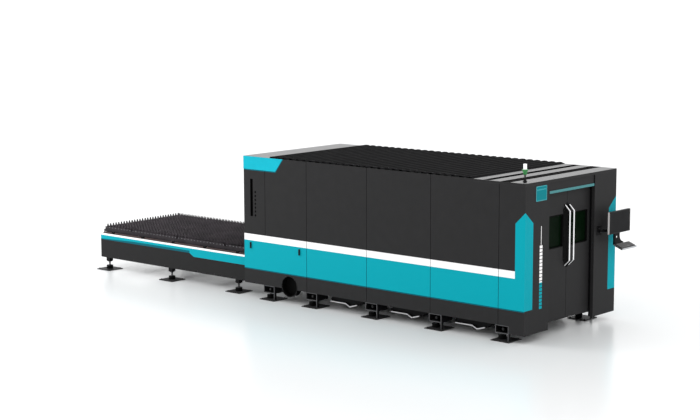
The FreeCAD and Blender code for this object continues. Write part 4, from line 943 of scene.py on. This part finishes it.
def makeScrewTree():
    # A head with a washer under it and a socket sunk into it, on every point, along one axis.
    tree, start, end = startTree("screws", Radius=0.008, Height=0.006, Sides=6, Washer=1.4, Socket=0.55,
                                 Axis=(0.0, 0.0, 1.0))
    value = start.outputs
    head = addNode(tree, "GeometryNodeMeshCylinder", Vertices=value["Sides"], Radius=value["Radius"],
                   Depth=value["Height"])
    flat = addNode(tree, "GeometryNodeExtrudeMesh", Mesh=head.outputs["Mesh"],
                   Selection=head.outputs["Top"], Offset_Scale=0.0)
    narrowed = addNode(tree, "GeometryNodeScaleElements", Geometry=flat.outputs["Mesh"],
                       Selection=flat.outputs["Top"], Scale=value["Socket"])
    sunk = addNode(tree, "GeometryNodeExtrudeMesh", Mesh=narrowed.outputs[0], Selection=flat.outputs["Top"],
                   Offset_Scale=calc(tree, "MULTIPLY", value["Height"], -0.5))
    raised = addNode(tree, "GeometryNodeTransform", Geometry=sunk.outputs["Mesh"])
    lift = tree.nodes.new("ShaderNodeCombineXYZ")
    tree.links.new(calc(tree, "MULTIPLY", value["Height"], 0.8), lift.inputs["Z"])
    tree.links.new(lift.outputs[0], raised.inputs["Translation"])
    washer = addNode(tree, "GeometryNodeMeshCylinder", Vertices=16,
                     Depth=calc(tree, "MULTIPLY", value["Height"], 0.6),
                     Radius=calc(tree, "MULTIPLY", value["Radius"], value["Washer"]))
    turn = tree.nodes.new("FunctionNodeAlignRotationToVector")
    turn.axis = "Z"
    tree.links.new(value["Axis"], turn.inputs["Vector"])
    spread = addNode(tree, "GeometryNodeInstanceOnPoints", Points=value["Geometry"],
                     Instance=joined(tree, raised.outputs[0], washer.outputs["Mesh"]),
                     Rotation=turn.outputs[0])
    return endTree(tree, start, end, spread.outputs[0])


def makeBlockTree():
    # A block with a smaller top on every point: rack teeth, comb tabs, keys, vent bars.
    tree, start, end = startTree("blocks", Size=(0.01, 0.01, 0.01), Top_share=0.7, Height_change=0.0,
                                 Seed=1)
    value = start.outputs
    body = addNode(tree, "GeometryNodeMeshCube", Size=value["Size"])
    place = tree.nodes.new("GeometryNodeInputPosition")
    parts = split(tree, place.outputs[0])
    upper = calc(tree, "GREATER_THAN", parts["Z"], 0.0)
    narrower = calc(tree, "SUBTRACT", 1.0, value["Top share"])
    shrink = calc(tree, "SUBTRACT", 1.0, calc(tree, "MULTIPLY", upper, narrower))
    taper = tree.nodes.new("ShaderNodeCombineXYZ")
    tree.links.new(calc(tree, "MULTIPLY", parts["X"], shrink), taper.inputs["X"])
    tree.links.new(calc(tree, "MULTIPLY", parts["Y"], shrink), taper.inputs["Y"])
    tree.links.new(parts["Z"], taper.inputs["Z"])
    shaped = addNode(tree, "GeometryNodeSetPosition", Geometry=body.outputs["Mesh"],
                     Position=taper.outputs[0])
    chance = tree.nodes.new("FunctionNodeRandomValue")
    chance.data_type = "FLOAT"
    tree.links.new(value["Seed"], chance.inputs["Seed"])
    swing = calc(tree, "MULTIPLY", calc(tree, "SUBTRACT", chance.outputs[1], 0.5), value["Height change"])
    scale = tree.nodes.new("ShaderNodeCombineXYZ")
    scale.inputs["X"].default_value = 1.0
    scale.inputs["Y"].default_value = 1.0
    tree.links.new(calc(tree, "ADD", swing, 1.0), scale.inputs["Z"])
    spread = addNode(tree, "GeometryNodeInstanceOnPoints", Points=value["Geometry"],
                     Instance=shaped.outputs[0], Scale=scale.outputs[0])
    return endTree(tree, start, end, spread.outputs[0])


def makeSlatTree():
    # Toothed pallet slats: a strip per point, its top row pulled into points that differ a little
    # in height and lean, then given its thickness.
    tree, start, end = startTree("slats", Width=1.7, Height=0.09, Thickness=0.004, Teeth=28,
                                 Tooth_depth=0.036, Wear=0.006, Lean=0.002, Seed=3)
    value = start.outputs
    columns = calc(tree, "MULTIPLY_ADD", value["Teeth"], 2.0, 1.0)
    strip = addNode(tree, "GeometryNodeMeshGrid", Size_X=value["Height"], Size_Y=value["Width"],
                    Vertices_X=2, Vertices_Y=columns)
    upright = addNode(tree, "GeometryNodeTransform", Geometry=strip.outputs["Mesh"],
                      Rotation=(0.0, math.radians(-90), 0.0))
    spread = addNode(tree, "GeometryNodeInstanceOnPoints", Points=value["Geometry"],
                     Instance=upright.outputs[0])
    real = addNode(tree, "GeometryNodeRealizeInstances", Geometry=spread.outputs[0])
    index = tree.nodes.new("GeometryNodeInputIndex").outputs[0]
    inStrip = calc(tree, "MODULO", index, calc(tree, "MULTIPLY", columns, 2.0))
    topRow = calc(tree, "GREATER_THAN", calc(tree, "SUBTRACT", inStrip, columns), -0.5)
    column = calc(tree, "MODULO", inStrip, columns)
    valley = calc(tree, "LESS_THAN", calc(tree, "MODULO", column, 2.0), 0.5)
    chance = tree.nodes.new("FunctionNodeRandomValue")
    chance.data_type = "FLOAT"
    tree.links.new(value["Seed"], chance.inputs["Seed"])
    worn = calc(tree, "MULTIPLY", chance.outputs[1], value["Wear"])
    drop = calc(tree, "ADD", calc(tree, "MULTIPLY", valley, value["Tooth depth"]), worn)
    sway = tree.nodes.new("FunctionNodeRandomValue")
    sway.data_type = "FLOAT"
    tree.links.new(calc(tree, "ADD", value["Seed"], 7.0), sway.inputs["Seed"])
    lean = calc(tree, "MULTIPLY", calc(tree, "SUBTRACT", sway.outputs[1], 0.5), value["Lean"])
    offset = tree.nodes.new("ShaderNodeCombineXYZ")
    tree.links.new(calc(tree, "MULTIPLY", lean, topRow), offset.inputs["X"])
    tree.links.new(calc(tree, "MULTIPLY", calc(tree, "MULTIPLY", drop, -1.0), topRow), offset.inputs["Z"])
    toothed = addNode(tree, "GeometryNodeSetPosition", Geometry=real.outputs[0], Offset=offset.outputs[0])
    thick = addNode(tree, "GeometryNodeExtrudeMesh", Mesh=toothed.outputs[0],
                    Offset_Scale=value["Thickness"])
    thick.inputs["Individual"].default_value = False
    back = addNode(tree, "GeometryNodeFlipFaces", Mesh=toothed.outputs[0])
    closed = addNode(tree, "GeometryNodeMergeByDistance",
                     Geometry=joined(tree, thick.outputs["Mesh"], back.outputs[0]), Distance=0.00002)
    return endTree(tree, start, end, closed.outputs[0])


screwTree = makeScrewTree()
blockTree = makeBlockTree()
slatTree = makeSlatTree()
upward = (0.0, 0.0, 1.0)


def addScrews(name, points, axis, radius, height, bodyName="machine", slotName="black_paint",
              finishName="blackScrew", sides=12, **values):
    bakeTree(screwTree, name, finishName, bodyName, slotName, points, Axis=axis, Radius=radius, Height=height,
             Sides=sides, **values)


screws = dict(radius=0.007, height=0.005, portalInset=0.055, portalEnd=0.06, portalSide=0.1, portalLow=1.06,
              portalCount=9, portalRowCount=10, panelInset=0.045, panelEnd=0.06, panelCount=6,
              slatX=0.045, slatInset=0.05, rivetRadius=0.005, rivetHeight=0.003)


def cabinScrews():
    low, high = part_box("rear_portal")
    left, right = low.y + screws["portalInset"], high.y - screws["portalInset"]
    foot, top = low.z + screws["portalEnd"], high.z - screws["portalEnd"]
    side = screws["portalSide"]
    points = []
    for y in (left, right):
        points += rowPoints((low.x, y, foot), (low.x, y, top), screws["portalCount"])
    for z in (top, screws["portalLow"]):
        points += rowPoints((low.x, left + side, z), (low.x, right - side, z), screws["portalRowCount"])
    addScrews("portalScrews", points, (-1.0, 0.0, 0.0), screws["radius"], screws["height"],
              slotName="bare_steel", finishName="zincScrew")
    points = []
    for low, high in solidBoxes("far_side_panels"):
        foot, top = low.z + screws["panelEnd"], high.z - screws["panelEnd"]
        for x in (low.x + screws["panelInset"], high.x - screws["panelInset"]):
            points += rowPoints((x, high.y, foot), (x, high.y, top), screws["panelCount"])
    addScrews("farPanelScrews", points, (0.0, 1.0, 0.0), screws["radius"], screws["height"],
              slotName="bare_steel", finishName="zincScrew")
    points = [(low.x + screws["slatX"], y, high.z) for low, high in solidBoxes("roof_slats")
              for y in (low.y + screws["slatInset"], high.y - screws["slatInset"])]
    addScrews("roofSlatRivets", points, upward, screws["rivetRadius"], screws["rivetHeight"], sides=10,
              Socket=0.3)


plaque = dict(near=-0.905, far=-0.648, low=1.962, high=2.170, thickness=0.0035, corner=0.006, border=0.010,
              borderCorner=0.014, borderRise=0.0015, lineLow=0.150, lineHigh=0.165, lineRise=0.0012)


def plaquePlate():
    # A turquoise plate on the near pillar's door face, with a raised border and one plain line.
    yRange = (centreY + plaque["near"], centreY + plaque["far"])
    zRange = (plaque["low"], plaque["high"])
    front, border = doorX + plaque["thickness"], plaque["border"]
    raised = front + plaque["borderRise"]
    shape = bmesh.new()
    addPlate(shape, roundedLoop(yRange, zRange, 0.0, plaque["corner"], 4), doorX, front)
    newPiece("plaquePlate", shape, "plaquePaint", "machine", "dark_paint")
    shape = bmesh.new()
    addRing(shape, yRange, zRange, [(0.0, front), (0.0, raised), (-border, raised), (-border, front)],
            plaque["borderCorner"])
    addBox(shape, (front, yRange[0] + 2 * border, plaque["low"] + plaque["lineLow"]),
           (front + plaque["lineRise"], yRange[1] - 2 * border, plaque["low"] + plaque["lineHigh"]))
    newPiece("plaqueBorder", shape, "plaqueEdge", "machine", "dark_paint")


capPlate = dict(thickness=0.0025, topGap=0.001)


def capPlates():
    # The table end's upper corner plates, one sheet each, over the seam between two panels, in a lighter
    # turquoise that is painted light.
    foot, head = bands["capLow"], cabinTop - capPlate["topGap"]
    short = tailX + bands["capShort"]
    long = short + bands["capLean"] * (cabinTop - foot)
    outline = [(tailX, foot), (short, foot), (long, head), (tailX, head)]
    for side, y, way in (("near", nearY, -1), ("far", farY, 1)):
        shape = bmesh.new()
        inner = [shape.verts.new((x, y, z)) for x, z in outline]
        outer = [shape.verts.new((x, y + way * capPlate["thickness"], z)) for x, z in outline]
        shape.faces.new(inner)
        shape.faces.new(outer)
        joinLoops(shape, inner, outer)
        newPiece("capPlate_" + side, shape, "capPaint", "machine", "dark_paint")


liner = dict(drop=0.026, thickness=0.002, edge=0.012, gapLow=0.01, gapHigh=0.2, slotX=(-0.905, -0.730),
             slotZ=(1.270, 1.900), slotBehind=0.034)


def shadeSheets():
    # Black sheets that stand in for shade, under the roof's grooves and slats, and behind the slot and its
    # row of holes.
    covers = solidBoxes("roof_cross_covers")
    spans = [(first[1].x, second[0].x) for first, second in zip(covers, covers[1:])]
    spans = [span for span in spans if liner["gapLow"] < span[1] - span[0] < liner["gapHigh"]]
    spans.append([corner.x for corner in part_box("roof_slats")])
    top, thick = cabinTop - liner["drop"], liner["thickness"]
    shape = bmesh.new()
    for start, stop in spans:
        addBox(shape, (start, nearY + liner["edge"], top - thick), (stop, farY - liner["edge"], top))
    y = nearY + liner["slotBehind"]
    (x0, x1), (z0, z1) = liner["slotX"], liner["slotZ"]
    addBox(shape, (x0, y, z0), (x1, y + thick, z1))
    newPiece("shadeSheets", shape, "collarAndShadeBlack", "machine", "black_paint")


gasket = dict(sink=0.004, width=0.009, proud=0.002, inner=0.004, edge=0.002, corner=0.010, revealNear=0.001,
              revealFar=0.003, revealGap=0.0005, revealCorner=0.004)


def windowGaskets():
    # A rubber profile round each window, and the black reveal of the opening behind it.
    inner, width, proud = gasket["inner"], gasket["width"], gasket["proud"]
    near, far = gasket["revealNear"], gasket["revealFar"]
    for side in ("near", "far"):
        low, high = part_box("door_glass_" + side)
        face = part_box("door_leaf_" + side)[1].x - gasket["sink"]
        back, front = high.x + gasket["revealGap"], face - gasket["revealGap"]
        profile = [(-inner, face), (-inner, face + proud * 0.6), (0.0, face + proud),
                   (width - gasket["edge"], face + proud), (width, face + proud * 0.5), (width, face)]
        reveal = [(-near, back), (-near, front), (-far, front), (-far, back)]
        for name, section, corner in (("windowGasket_", profile, gasket["corner"]),
                                      ("windowReveal_", reveal, gasket["revealCorner"])):
            shape = bmesh.new()
            addRing(shape, (low.y, high.y), (low.z, high.z), section, corner)
            newPiece(name + side, shape, "rubber", "door_" + side, "black_plastic")


doorTrim = dict(faceSink=0.004, sealWidth=0.003, sealDepth=0.012, sealSink=0.001, sealFoot=0.01,
                sealHead=0.05, footRadius=0.016, footHeight=0.006, footEdge=0.003, footOverhang=0.005,
                padGap=0.001, padWidth=0.088, padBelow=0.020, padAbove=0.010, padRise=0.105, padFall=0.070,
                padThickness=0.0012, screwInset=0.012, screwLow=0.13, screwHigh=0.09, screwRadius=0.004,
                screwHeight=0.003)


def doorDetails():
    radius, height = doorTrim["footRadius"], doorTrim["footHeight"]
    footProfile = [(radius, 0.0), (radius, height * 0.6), (radius - doorTrim["footEdge"], height)]
    footInset = radius - doorTrim["footOverhang"]
    for side, sign in (("near", -1), ("far", 1)):
        body = "door_" + side
        low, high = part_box("door_leaf_" + side)
        gripLow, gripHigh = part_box("door_handle_" + side)
        gripY = (gripLow.y + gripHigh.y) / 2
        face = high.x - doorTrim["faceSink"]
        edge = high.y if side == "near" else low.y
        y0, y1 = sorted((edge, edge - sign * doorTrim["sealWidth"]))
        shape = bmesh.new()
        addBox(shape, (face - doorTrim["sealDepth"], y0, low.z + doorTrim["sealFoot"]),
               (face - doorTrim["sealSink"], y1, high.z - doorTrim["sealHead"]))
        newPiece("doorSeal_" + side, shape, "rubber", body, "black_plastic", bevel=0.001)
        shape = bmesh.new()
        for z in (gripLow.z + footInset, gripHigh.z - footInset):
            addLathe(shape, (high.x, gripY, z), footProfile, (1, 0, 0), 24)
        newPiece("handleFeet_" + side, shape, "rubber", body, "black_plastic")
        inner, outer = edge + sign * doorTrim["padGap"], edge + sign * doorTrim["padWidth"]
        bottom, top = gripLow.z - doorTrim["padBelow"], gripHigh.z + doorTrim["padAbove"]
        outline = [(inner, bottom), (outer, bottom + doorTrim["padRise"]), (outer, top - doorTrim["padFall"]),
                   (inner, top)]
        front = high.x + doorTrim["padThickness"]
        shape = bmesh.new()
        addPlate(shape, outline, face, front)
        newPiece("handlePad_" + side, shape, "rubber", body, "black_plastic")
        points = [(front, outer - sign * doorTrim["screwInset"], z)
                  for z in (bottom + doorTrim["screwLow"], (bottom + top) / 2, top - doorTrim["screwHigh"])]
        addScrews("handlePadScrews_" + side, points, (1.0, 0.0, 0.0), doorTrim["screwRadius"],
                  doorTrim["screwHeight"], body)


# Profiles are (wider than the stem, height) points.
lamp = dict(bandHeight=0.005, bandProud=0.0015, bandSink=0.002, whiteProud=0.001, stemRadius=0.0125,
            collarDrop=0.012, collar=((0.0, 0.0), (0.006, 0.003), (0.0085, 0.012)),
            ringDrop=0.050, ring=((0.0, 0.0), (0.002, 0.002), (0.002, 0.010), (0.0, 0.012)))


def lampBands():
    # A green band where the lens sections meet, and a collar and a ring on the stem.
    low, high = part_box("signal_lamp_green")
    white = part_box("signal_lamp_white")
    centre = ((low.x + high.x) / 2, (low.y + high.y) / 2)
    whiteRadius = (white[1].x - white[0].x) / 2
    radius = (high.x - low.x) / 2 + lamp["bandProud"]
    shape = bmesh.new()
    sink, height = lamp["bandSink"], lamp["bandHeight"]
    addLathe(shape, (*centre, high.z), [(radius, -sink), (radius, height - sink),
                                        (whiteRadius + lamp["whiteProud"], height)])
    newPiece("lampMiddleBand", shape, "lampGreen", "machine", "lamp_green")
    shape = bmesh.new()
    for name in ("collar", "ring"):
        profile = [(lamp["stemRadius"] + wider, height) for wider, height in lamp[name]]
        addLathe(shape, (*centre, low.z - lamp[name + "Drop"]), profile)
    newPiece("lampStemRings", shape, "blackPlastic", "machine", "black_plastic")


footing = dict(puckRadius=0.055, puckHeight=0.058, puckEdge=0.004, puckFoot=0.0005, nutRadius=0.015,
               nutHeight=0.012, nutLow=0.062, nutDrop=0.020, boltRadius=0.014, boltHeight=0.010, boltZ=0.168,
               boltInward=0.035, backInward=0.240, backX=0.055, backZ=0.028, anchorInset=0.032,
               anchorRadius=0.010, anchorHeight=0.009)


def footDetails():
    inset = footing["anchorInset"]
    anchors = [(x, y, high.z) for low, high in solidBoxes("ground_plates")
               for x in (low.x + inset, high.x - inset) for y in (low.y + inset, high.y - inset)]
    addScrews("anchorBolts", anchors, upward, footing["anchorRadius"], footing["anchorHeight"], sides=6)
    radius, height, edge = footing["puckRadius"], footing["puckHeight"], footing["puckEdge"]
    nuts = []
    shape = bmesh.new()
    for low, high in solidBoxes("levelling_feet"):
        x, y = (low.x + high.x) / 2, (low.y + high.y) / 2
        addLathe(shape, (x, y, low.z), [(radius, footing["puckFoot"]), (radius, height - edge),
                                        (radius - edge, height)], segments=28)
        nuts += [(x, y, low.z + footing["nutLow"]), (x, y, high.z - footing["nutDrop"])]
    addScrews("footNuts", nuts, upward, footing["nutRadius"], footing["nutHeight"], slotName="bare_steel",
              finishName="footSteel", sides=6, Socket=0.62, Washer=1.25)
    newPiece("footPucks", shape, "rubber", "machine", "black_paint")
    for side, way in (("near", -1.0), ("far", 1.0)):
        points = []
        for low, high in solidBoxes("foot_brackets"):
            if ((low.y + high.y) / 2 < centreY) != (side == "near"):
                continue
            x, z = (low.x + high.x) / 2, footing["boltZ"]
            face = low.y if side == "near" else high.y
            points.append((x, face - way * footing["boltInward"], z))
            points += [(x + dx, face - way * footing["backInward"], z + dz)
                       for dx in (-footing["backX"], footing["backX"])
                       for dz in (-footing["backZ"], footing["backZ"])]
        addScrews("bracketBolts_" + side, points, (0.0, way, 0.0), footing["boltRadius"],
                  footing["boltHeight"], slotName="bare_steel", sides=6)


# The lip's points are (wider than the collar, inwards).
outlet = dict(lip=((-0.004, 0.0), (-0.001, -0.004), (0.004, -0.004), (0.004, 0.001), (0.0, 0.001),
                   (-0.004, 0.004)), shadeInset=0.006, shadeSink=0.004, shadeHalf=0.001)


def outletDetails():
    # A rolled lip, and a black disc at the back of the dust collar that stands in for the shade inside it.
    low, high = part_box("dust_collar")
    x, z, outer = (low.x + high.x) / 2, (low.z + high.z) / 2, (high.x - low.x) / 2
    shape = bmesh.new()
    profile = [(outer + wider, inward) for wider, inward in outlet["lip"]]
    addLathe(shape, (x, low.y, z), profile, (0, 1, 0), 64, closed=True)
    newPiece("collarLip", shape, "blackPaint", "machine", "black_paint")
    shape = bmesh.new()
    shade, half = outer - outlet["shadeInset"], outlet["shadeHalf"]
    addLathe(shape, (x, high.y - outlet["shadeSink"], z), [(shade, -half), (shade, half)], (0, 1, 0), 48)
    newPiece("collarShade", shape, "rubber", "machine", "black_paint")


pallets = dict(width=1.722, height=0.095, thickness=0.004, teeth=28, toothDepth=0.036, wear=0.005, lean=0.003)


def palletSlats():
    for number, level in enumerate(("upper", "lower")):
        node = level + "_pallet_slats"
        points = [((low.x + high.x) / 2 - pallets["thickness"] / 2, (low.y + high.y) / 2,
                   low.z + pallets["height"] / 2) for low, high in solidBoxes(node)]
        bakeTree(slatTree, level + "PalletSlats", "slatSteel", level + "_pallet", "slat_steel", points,
                 replaced=(node,), Width=pallets["width"], Height=pallets["height"],
                 Thickness=pallets["thickness"], Teeth=pallets["teeth"], Tooth_depth=pallets["toothDepth"],
                 Wear=pallets["wear"], Lean=pallets["lean"], Seed=3 + number)


comb = dict(tooth=(0.010, 0.042, 0.046), outward=0.006, rise=0.008, sideTooth=(0.024, 0.008, 0.040),
            sideInset=0.004, sideRise=0.005, change=0.06, rivet=(0.014, 0.003, 0.012), rivetProud=0.001,
            rivetDrop=0.018)


def palletCombs():
    # Upright tabs along the pallets' outer end and far side, which hold the slats, and a bright rivet
    # at both ends of each slat.
    for number, level in enumerate(("upper", "lower")):
        body = level + "_pallet"
        low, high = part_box(body + "_slats")
        frameLow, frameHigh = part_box(body + "_frame")
        boxes = solidBoxes(body + "_slats")
        x, z = low.x - comb["outward"], high.z + comb["rise"] - comb["tooth"][2] / 2
        pitch = (high.y - low.y) / pallets["teeth"]
        points = rowPoints((x, low.y + pitch / 2, z), (x, high.y - pitch / 2, z), pallets["teeth"])
        bakeTree(blockTree, level + "PalletComb", "blackPaint", body, "slat_steel", points,
                 Size=comb["tooth"], Top_share=0.45, Height_change=comb["change"], Seed=11 + number)
        y, z = high.y - comb["sideInset"], high.z + comb["sideRise"] - comb["sideTooth"][2] / 2
        points = rowPoints((low.x, y, z), (high.x, y, z), 2 * len(boxes) - 1)
        bakeTree(blockTree, level + "PalletSideComb", "blackPaint", body, "slat_steel", points,
                 Size=comb["sideTooth"], Top_share=0.4, Height_change=comb["change"], Seed=13 + number)
        z = frameHigh.z - comb["rivetDrop"]
        ends = (frameLow.y - comb["rivetProud"], frameHigh.y + comb["rivetProud"])
        points = [((first.x + last.x) / 2, y, z) for first, last in boxes for y in ends]
        bakeTree(blockTree, level + "PalletRivets", "zincScrew", body, "slat_steel", points,
                 Size=comb["rivet"], Top_share=0.8)


tableTrim = dict(skirtEnd=0.05, skirtRise=0.03, skirtCount=10, skirtRadius=0.006, skirtHeight=0.004,
                 blockInset=0.013, blockRadius=0.005, blockHeight=0.005)


def tableDetails():
    for side, way in (("near", -1.0), ("far", 1.0)):
        low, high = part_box("table_skirt_" + side)
        y, z = low.y if side == "near" else high.y, low.z + tableTrim["skirtRise"]
        points = rowPoints((low.x + tableTrim["skirtEnd"], y, z), (high.x - tableTrim["skirtEnd"], y, z),
                           tableTrim["skirtCount"])
        addScrews("skirtScrews_" + side, points, (0.0, way, 0.0), tableTrim["skirtRadius"],
                  tableTrim["skirtHeight"])
    inset = tableTrim["blockInset"]
    points = [(x, (low.y + high.y) / 2, high.z) for low, high in solidBoxes("guide_blocks")
              for x in (low.x + inset, high.x - inset)]
    addScrews("guideBlockScrews", points, upward, tableTrim["blockRadius"], tableTrim["blockHeight"])


ways = dict(screwPitch=0.1, screwEnd=0.05, screwSink=0.003, screwRadius=0.007, screwHeight=0.003,
            toothPitch=0.0126, toothHeight=0.006, toothFill=0.62, toothEnd=0.006, rackOffset=0.052,
            rackWidth=0.020, rackHeight=0.018, rackInset=0.05)


def gantryDetails():
    screwPoints = []
    teeth = []
    half, inset = ways["rackWidth"] / 2, ways["rackInset"]
    shape = bmesh.new()
    for low, high in solidBoxes("x_rails"):
        middle = (low.y + high.y) / 2
        start, stop, z = low.x + ways["screwEnd"], high.x - ways["screwEnd"], high.z - ways["screwSink"]
        count = int((high.x - low.x - 2 * ways["screwEnd"]) / ways["screwPitch"])
        screwPoints += rowPoints((start, middle, z), (stop, middle, z), count)
        way = 1 if middle < centreY else -1
        y, top = middle + way * ways["rackOffset"], low.z + ways["rackHeight"]
        addBox(shape, (low.x + inset, y - half, low.z), (high.x - inset, y + half, top))
        start, stop, z = low.x + inset + ways["toothEnd"], high.x - inset - ways["toothEnd"], top
        z += ways["toothHeight"] / 2
        count = int((high.x - low.x - 2 * inset) / ways["toothPitch"])
        teeth += rowPoints((start, y, z), (stop, y, z), count)
    newPiece("gantryRacks", shape, "bareSteel", "machine", "bare_steel", bevel=0.001)
    bakeTree(blockTree, "rackTeeth", "bareSteel", "machine", "bare_steel", teeth, Top_share=0.55,
             Size=(ways["toothPitch"] * ways["toothFill"], ways["rackWidth"], ways["toothHeight"]))
    addScrews("railScrews", screwPoints, upward, ways["screwRadius"], ways["screwHeight"],
              slotName="bare_steel", Washer=1.2)


headTrim = dict(radius=0.0395, height=0.004, edge=0.002, rise=0.001, places=(0.45, 0.62, 0.80))


def headDetails():
    # Three raised bands round the cutting head.
    low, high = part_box("cutting_head")
    centre = ((low.x + high.x) / 2, (low.y + high.y) / 2)
    radius, height, rise = headTrim["radius"], headTrim["height"], headTrim["rise"]
    small = radius - headTrim["edge"]
    profile = [(small, 0.0), (radius, rise), (radius, height), (small, height + rise)]
    shape = bmesh.new()
    for share in headTrim["places"]:
        addLathe(shape, (*centre, low.z + (high.z - low.z) * share), profile)
    newPiece("headBands", shape, "blackPlastic", "z_axis", "black_plastic")


screen = dict(rim=0.016, gap=0.001, glassBack=0.0018, glassInset=0.0008, bezelProud=0.0015, corner=0.010,
              bezelInner=0.004, caseDepth=0.036, hoodDepth=0.014, hoodInset=0.05, hoodFoot=0.13,
              hoodHead=0.03, ventTop=0.055, ventPitch=0.014, ventRows=4, ventCount=14, ventEnd=0.03,
              vent=(0.003, 0.022, 0.006), screwEnd=0.02, screwFoot=0.15, screwHead=0.05, screwRadius=0.004,
              screwHeight=0.003)


def monitorDetails():
    low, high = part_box("monitor")
    front, caseBack = high.x, high.x - screen["caseDepth"]
    rim, gap, proud, inset = screen["rim"], screen["gap"], screen["bezelProud"], screen["hoodInset"]
    shape = bmesh.new()
    addBox(shape, (front - screen["glassBack"], low.y + rim + gap, low.z + rim + gap),
           (front - screen["glassInset"], high.y - rim - gap, high.z - rim - gap))
    newPiece("monitorScreen", shape, "screenGlass", "monitor", "black_plastic", bevel=0.0008)
    section = [(-rim, front), (-rim + gap, front + proud * 0.6), (-screen["bezelInner"], front + proud),
               (-gap, front + proud * 0.5), (-gap, front)]
    shape = bmesh.new()
    addRing(shape, (low.y, high.y), (low.z, high.z), section, screen["corner"])
    newPiece("monitorBezel", shape, "monitorCase", "monitor", "black_plastic")
    x = caseBack - screen["hoodDepth"]
    left, right = low.y + inset, high.y - inset
    shape = bmesh.new()
    addBox(shape, (x, left, low.z + screen["hoodFoot"]), (caseBack, right, high.z - screen["hoodHead"]))
    newPiece("monitorHood", shape, "blackPlastic", "monitor", "black_plastic", bevel=0.006, segments=3)
    points = []
    for row in range(screen["ventRows"]):
        z = high.z - screen["ventTop"] - row * screen["ventPitch"]
        points += rowPoints((x, left + screen["ventEnd"], z), (x, right - screen["ventEnd"], z),
                            screen["ventCount"])
    bakeTree(blockTree, "monitorVents", "rubber", "monitor", "black_plastic", points, Size=screen["vent"],
             Top_share=0.9)
    points = [(x, y, z) for y in (left + screen["screwEnd"], right - screen["screwEnd"])
              for z in (low.z + screen["screwFoot"], high.z - screen["screwHead"])]
    addScrews("monitorScrews", points, (-1.0, 0.0, 0.0), screen["screwRadius"], screen["screwHeight"],
              "monitor", "black_plastic")


keyboard = dict(tilt=21.0, thickness=0.014, backX=0.006, depth=0.130, margin=0.012, baseHeight=0.012,
                border=0.01, rows=5, columns=15, stagger=0.075, keyHeight=0.007, keySink=0.001, gap=0.003,
                barColumns=(4, 9), barSpan=(4.1, 9.9))


def keyboardPieces():
    # A keyboard on the tilted tray: a base with rounded corners and rows of blank keys.
    low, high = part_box("keyboard_tray")
    tilt = math.radians(keyboard["tilt"])
    backEdge = low.x + keyboard["thickness"] * math.sin(tilt)
    lay = Matrix.Translation((backEdge, 0.0, high.z)) @ Matrix.Rotation(tilt, 4, "Y")
    x0, x1 = keyboard["backX"], keyboard["backX"] + keyboard["depth"]
    y0, y1 = low.y + keyboard["margin"], high.y - keyboard["margin"]
    rows, columns, border, gap = (keyboard[name] for name in ("rows", "columns", "border", "gap"))
    shape = bmesh.new()
    addBox(shape, (x0, y0, 0.0), (x1, y1, keyboard["baseHeight"]))
    bmesh.ops.transform(shape, matrix=lay, verts=shape.verts)
    newPiece("keyboardBase", shape, "greyPlastic", "console_post", "black_plastic", bevel=0.004, segments=3)
    pitchX, pitchY = (x1 - x0 - 2 * border) / rows, (y1 - y0 - 2 * border) / columns
    keyLow = keyboard["baseHeight"] - keyboard["keySink"]
    keyHigh = keyLow + keyboard["keyHeight"]
    points = []
    for row in range(rows):
        shift = keyboard["stagger"] * pitchY * (row % 3 - 1)
        for column in range(columns):
            if row == rows - 1 and keyboard["barColumns"][0] <= column <= keyboard["barColumns"][1]:
                continue
            points.append((x0 + border + pitchX * (row + 0.5), y0 + border + pitchY * (column + 0.5) + shift,
                           (keyLow + keyHigh) / 2))
    bakeTree(blockTree, "keyboardKeys", "keyPlastic", "console_post", "black_plastic", points, move=lay,
             Size=(pitchX - gap, pitchY - gap, keyboard["keyHeight"]), Top_share=0.78, Height_change=0.06,
             Seed=5)
    shape = bmesh.new()
    barX, half = x0 + border + pitchX * (rows - 0.5), (pitchX - gap) / 2
    barStart, barStop = (y0 + border + pitchY * share for share in keyboard["barSpan"])
    addBox(shape, (barX - half, barStart, keyLow), (barX + half, barStop, keyHigh))
    bmesh.ops.transform(shape, matrix=lay, verts=shape.verts)
    newPiece("keyboardBar", shape, "keyPlastic", "console_post", "black_plastic", bevel=0.0015)


cabinScrews()
plaquePlate()
capPlates()
shadeSheets()
windowGaskets()
doorDetails()
lampBands()
print("stage: cabin and door details")
footDetails()
outletDetails()
palletSlats()
palletCombs()
tableDetails()
print("stage: undercarriage and exchange table")
gantryDetails()
headDetails()
monitorDetails()
keyboardPieces()
print("stage: gantry and console")
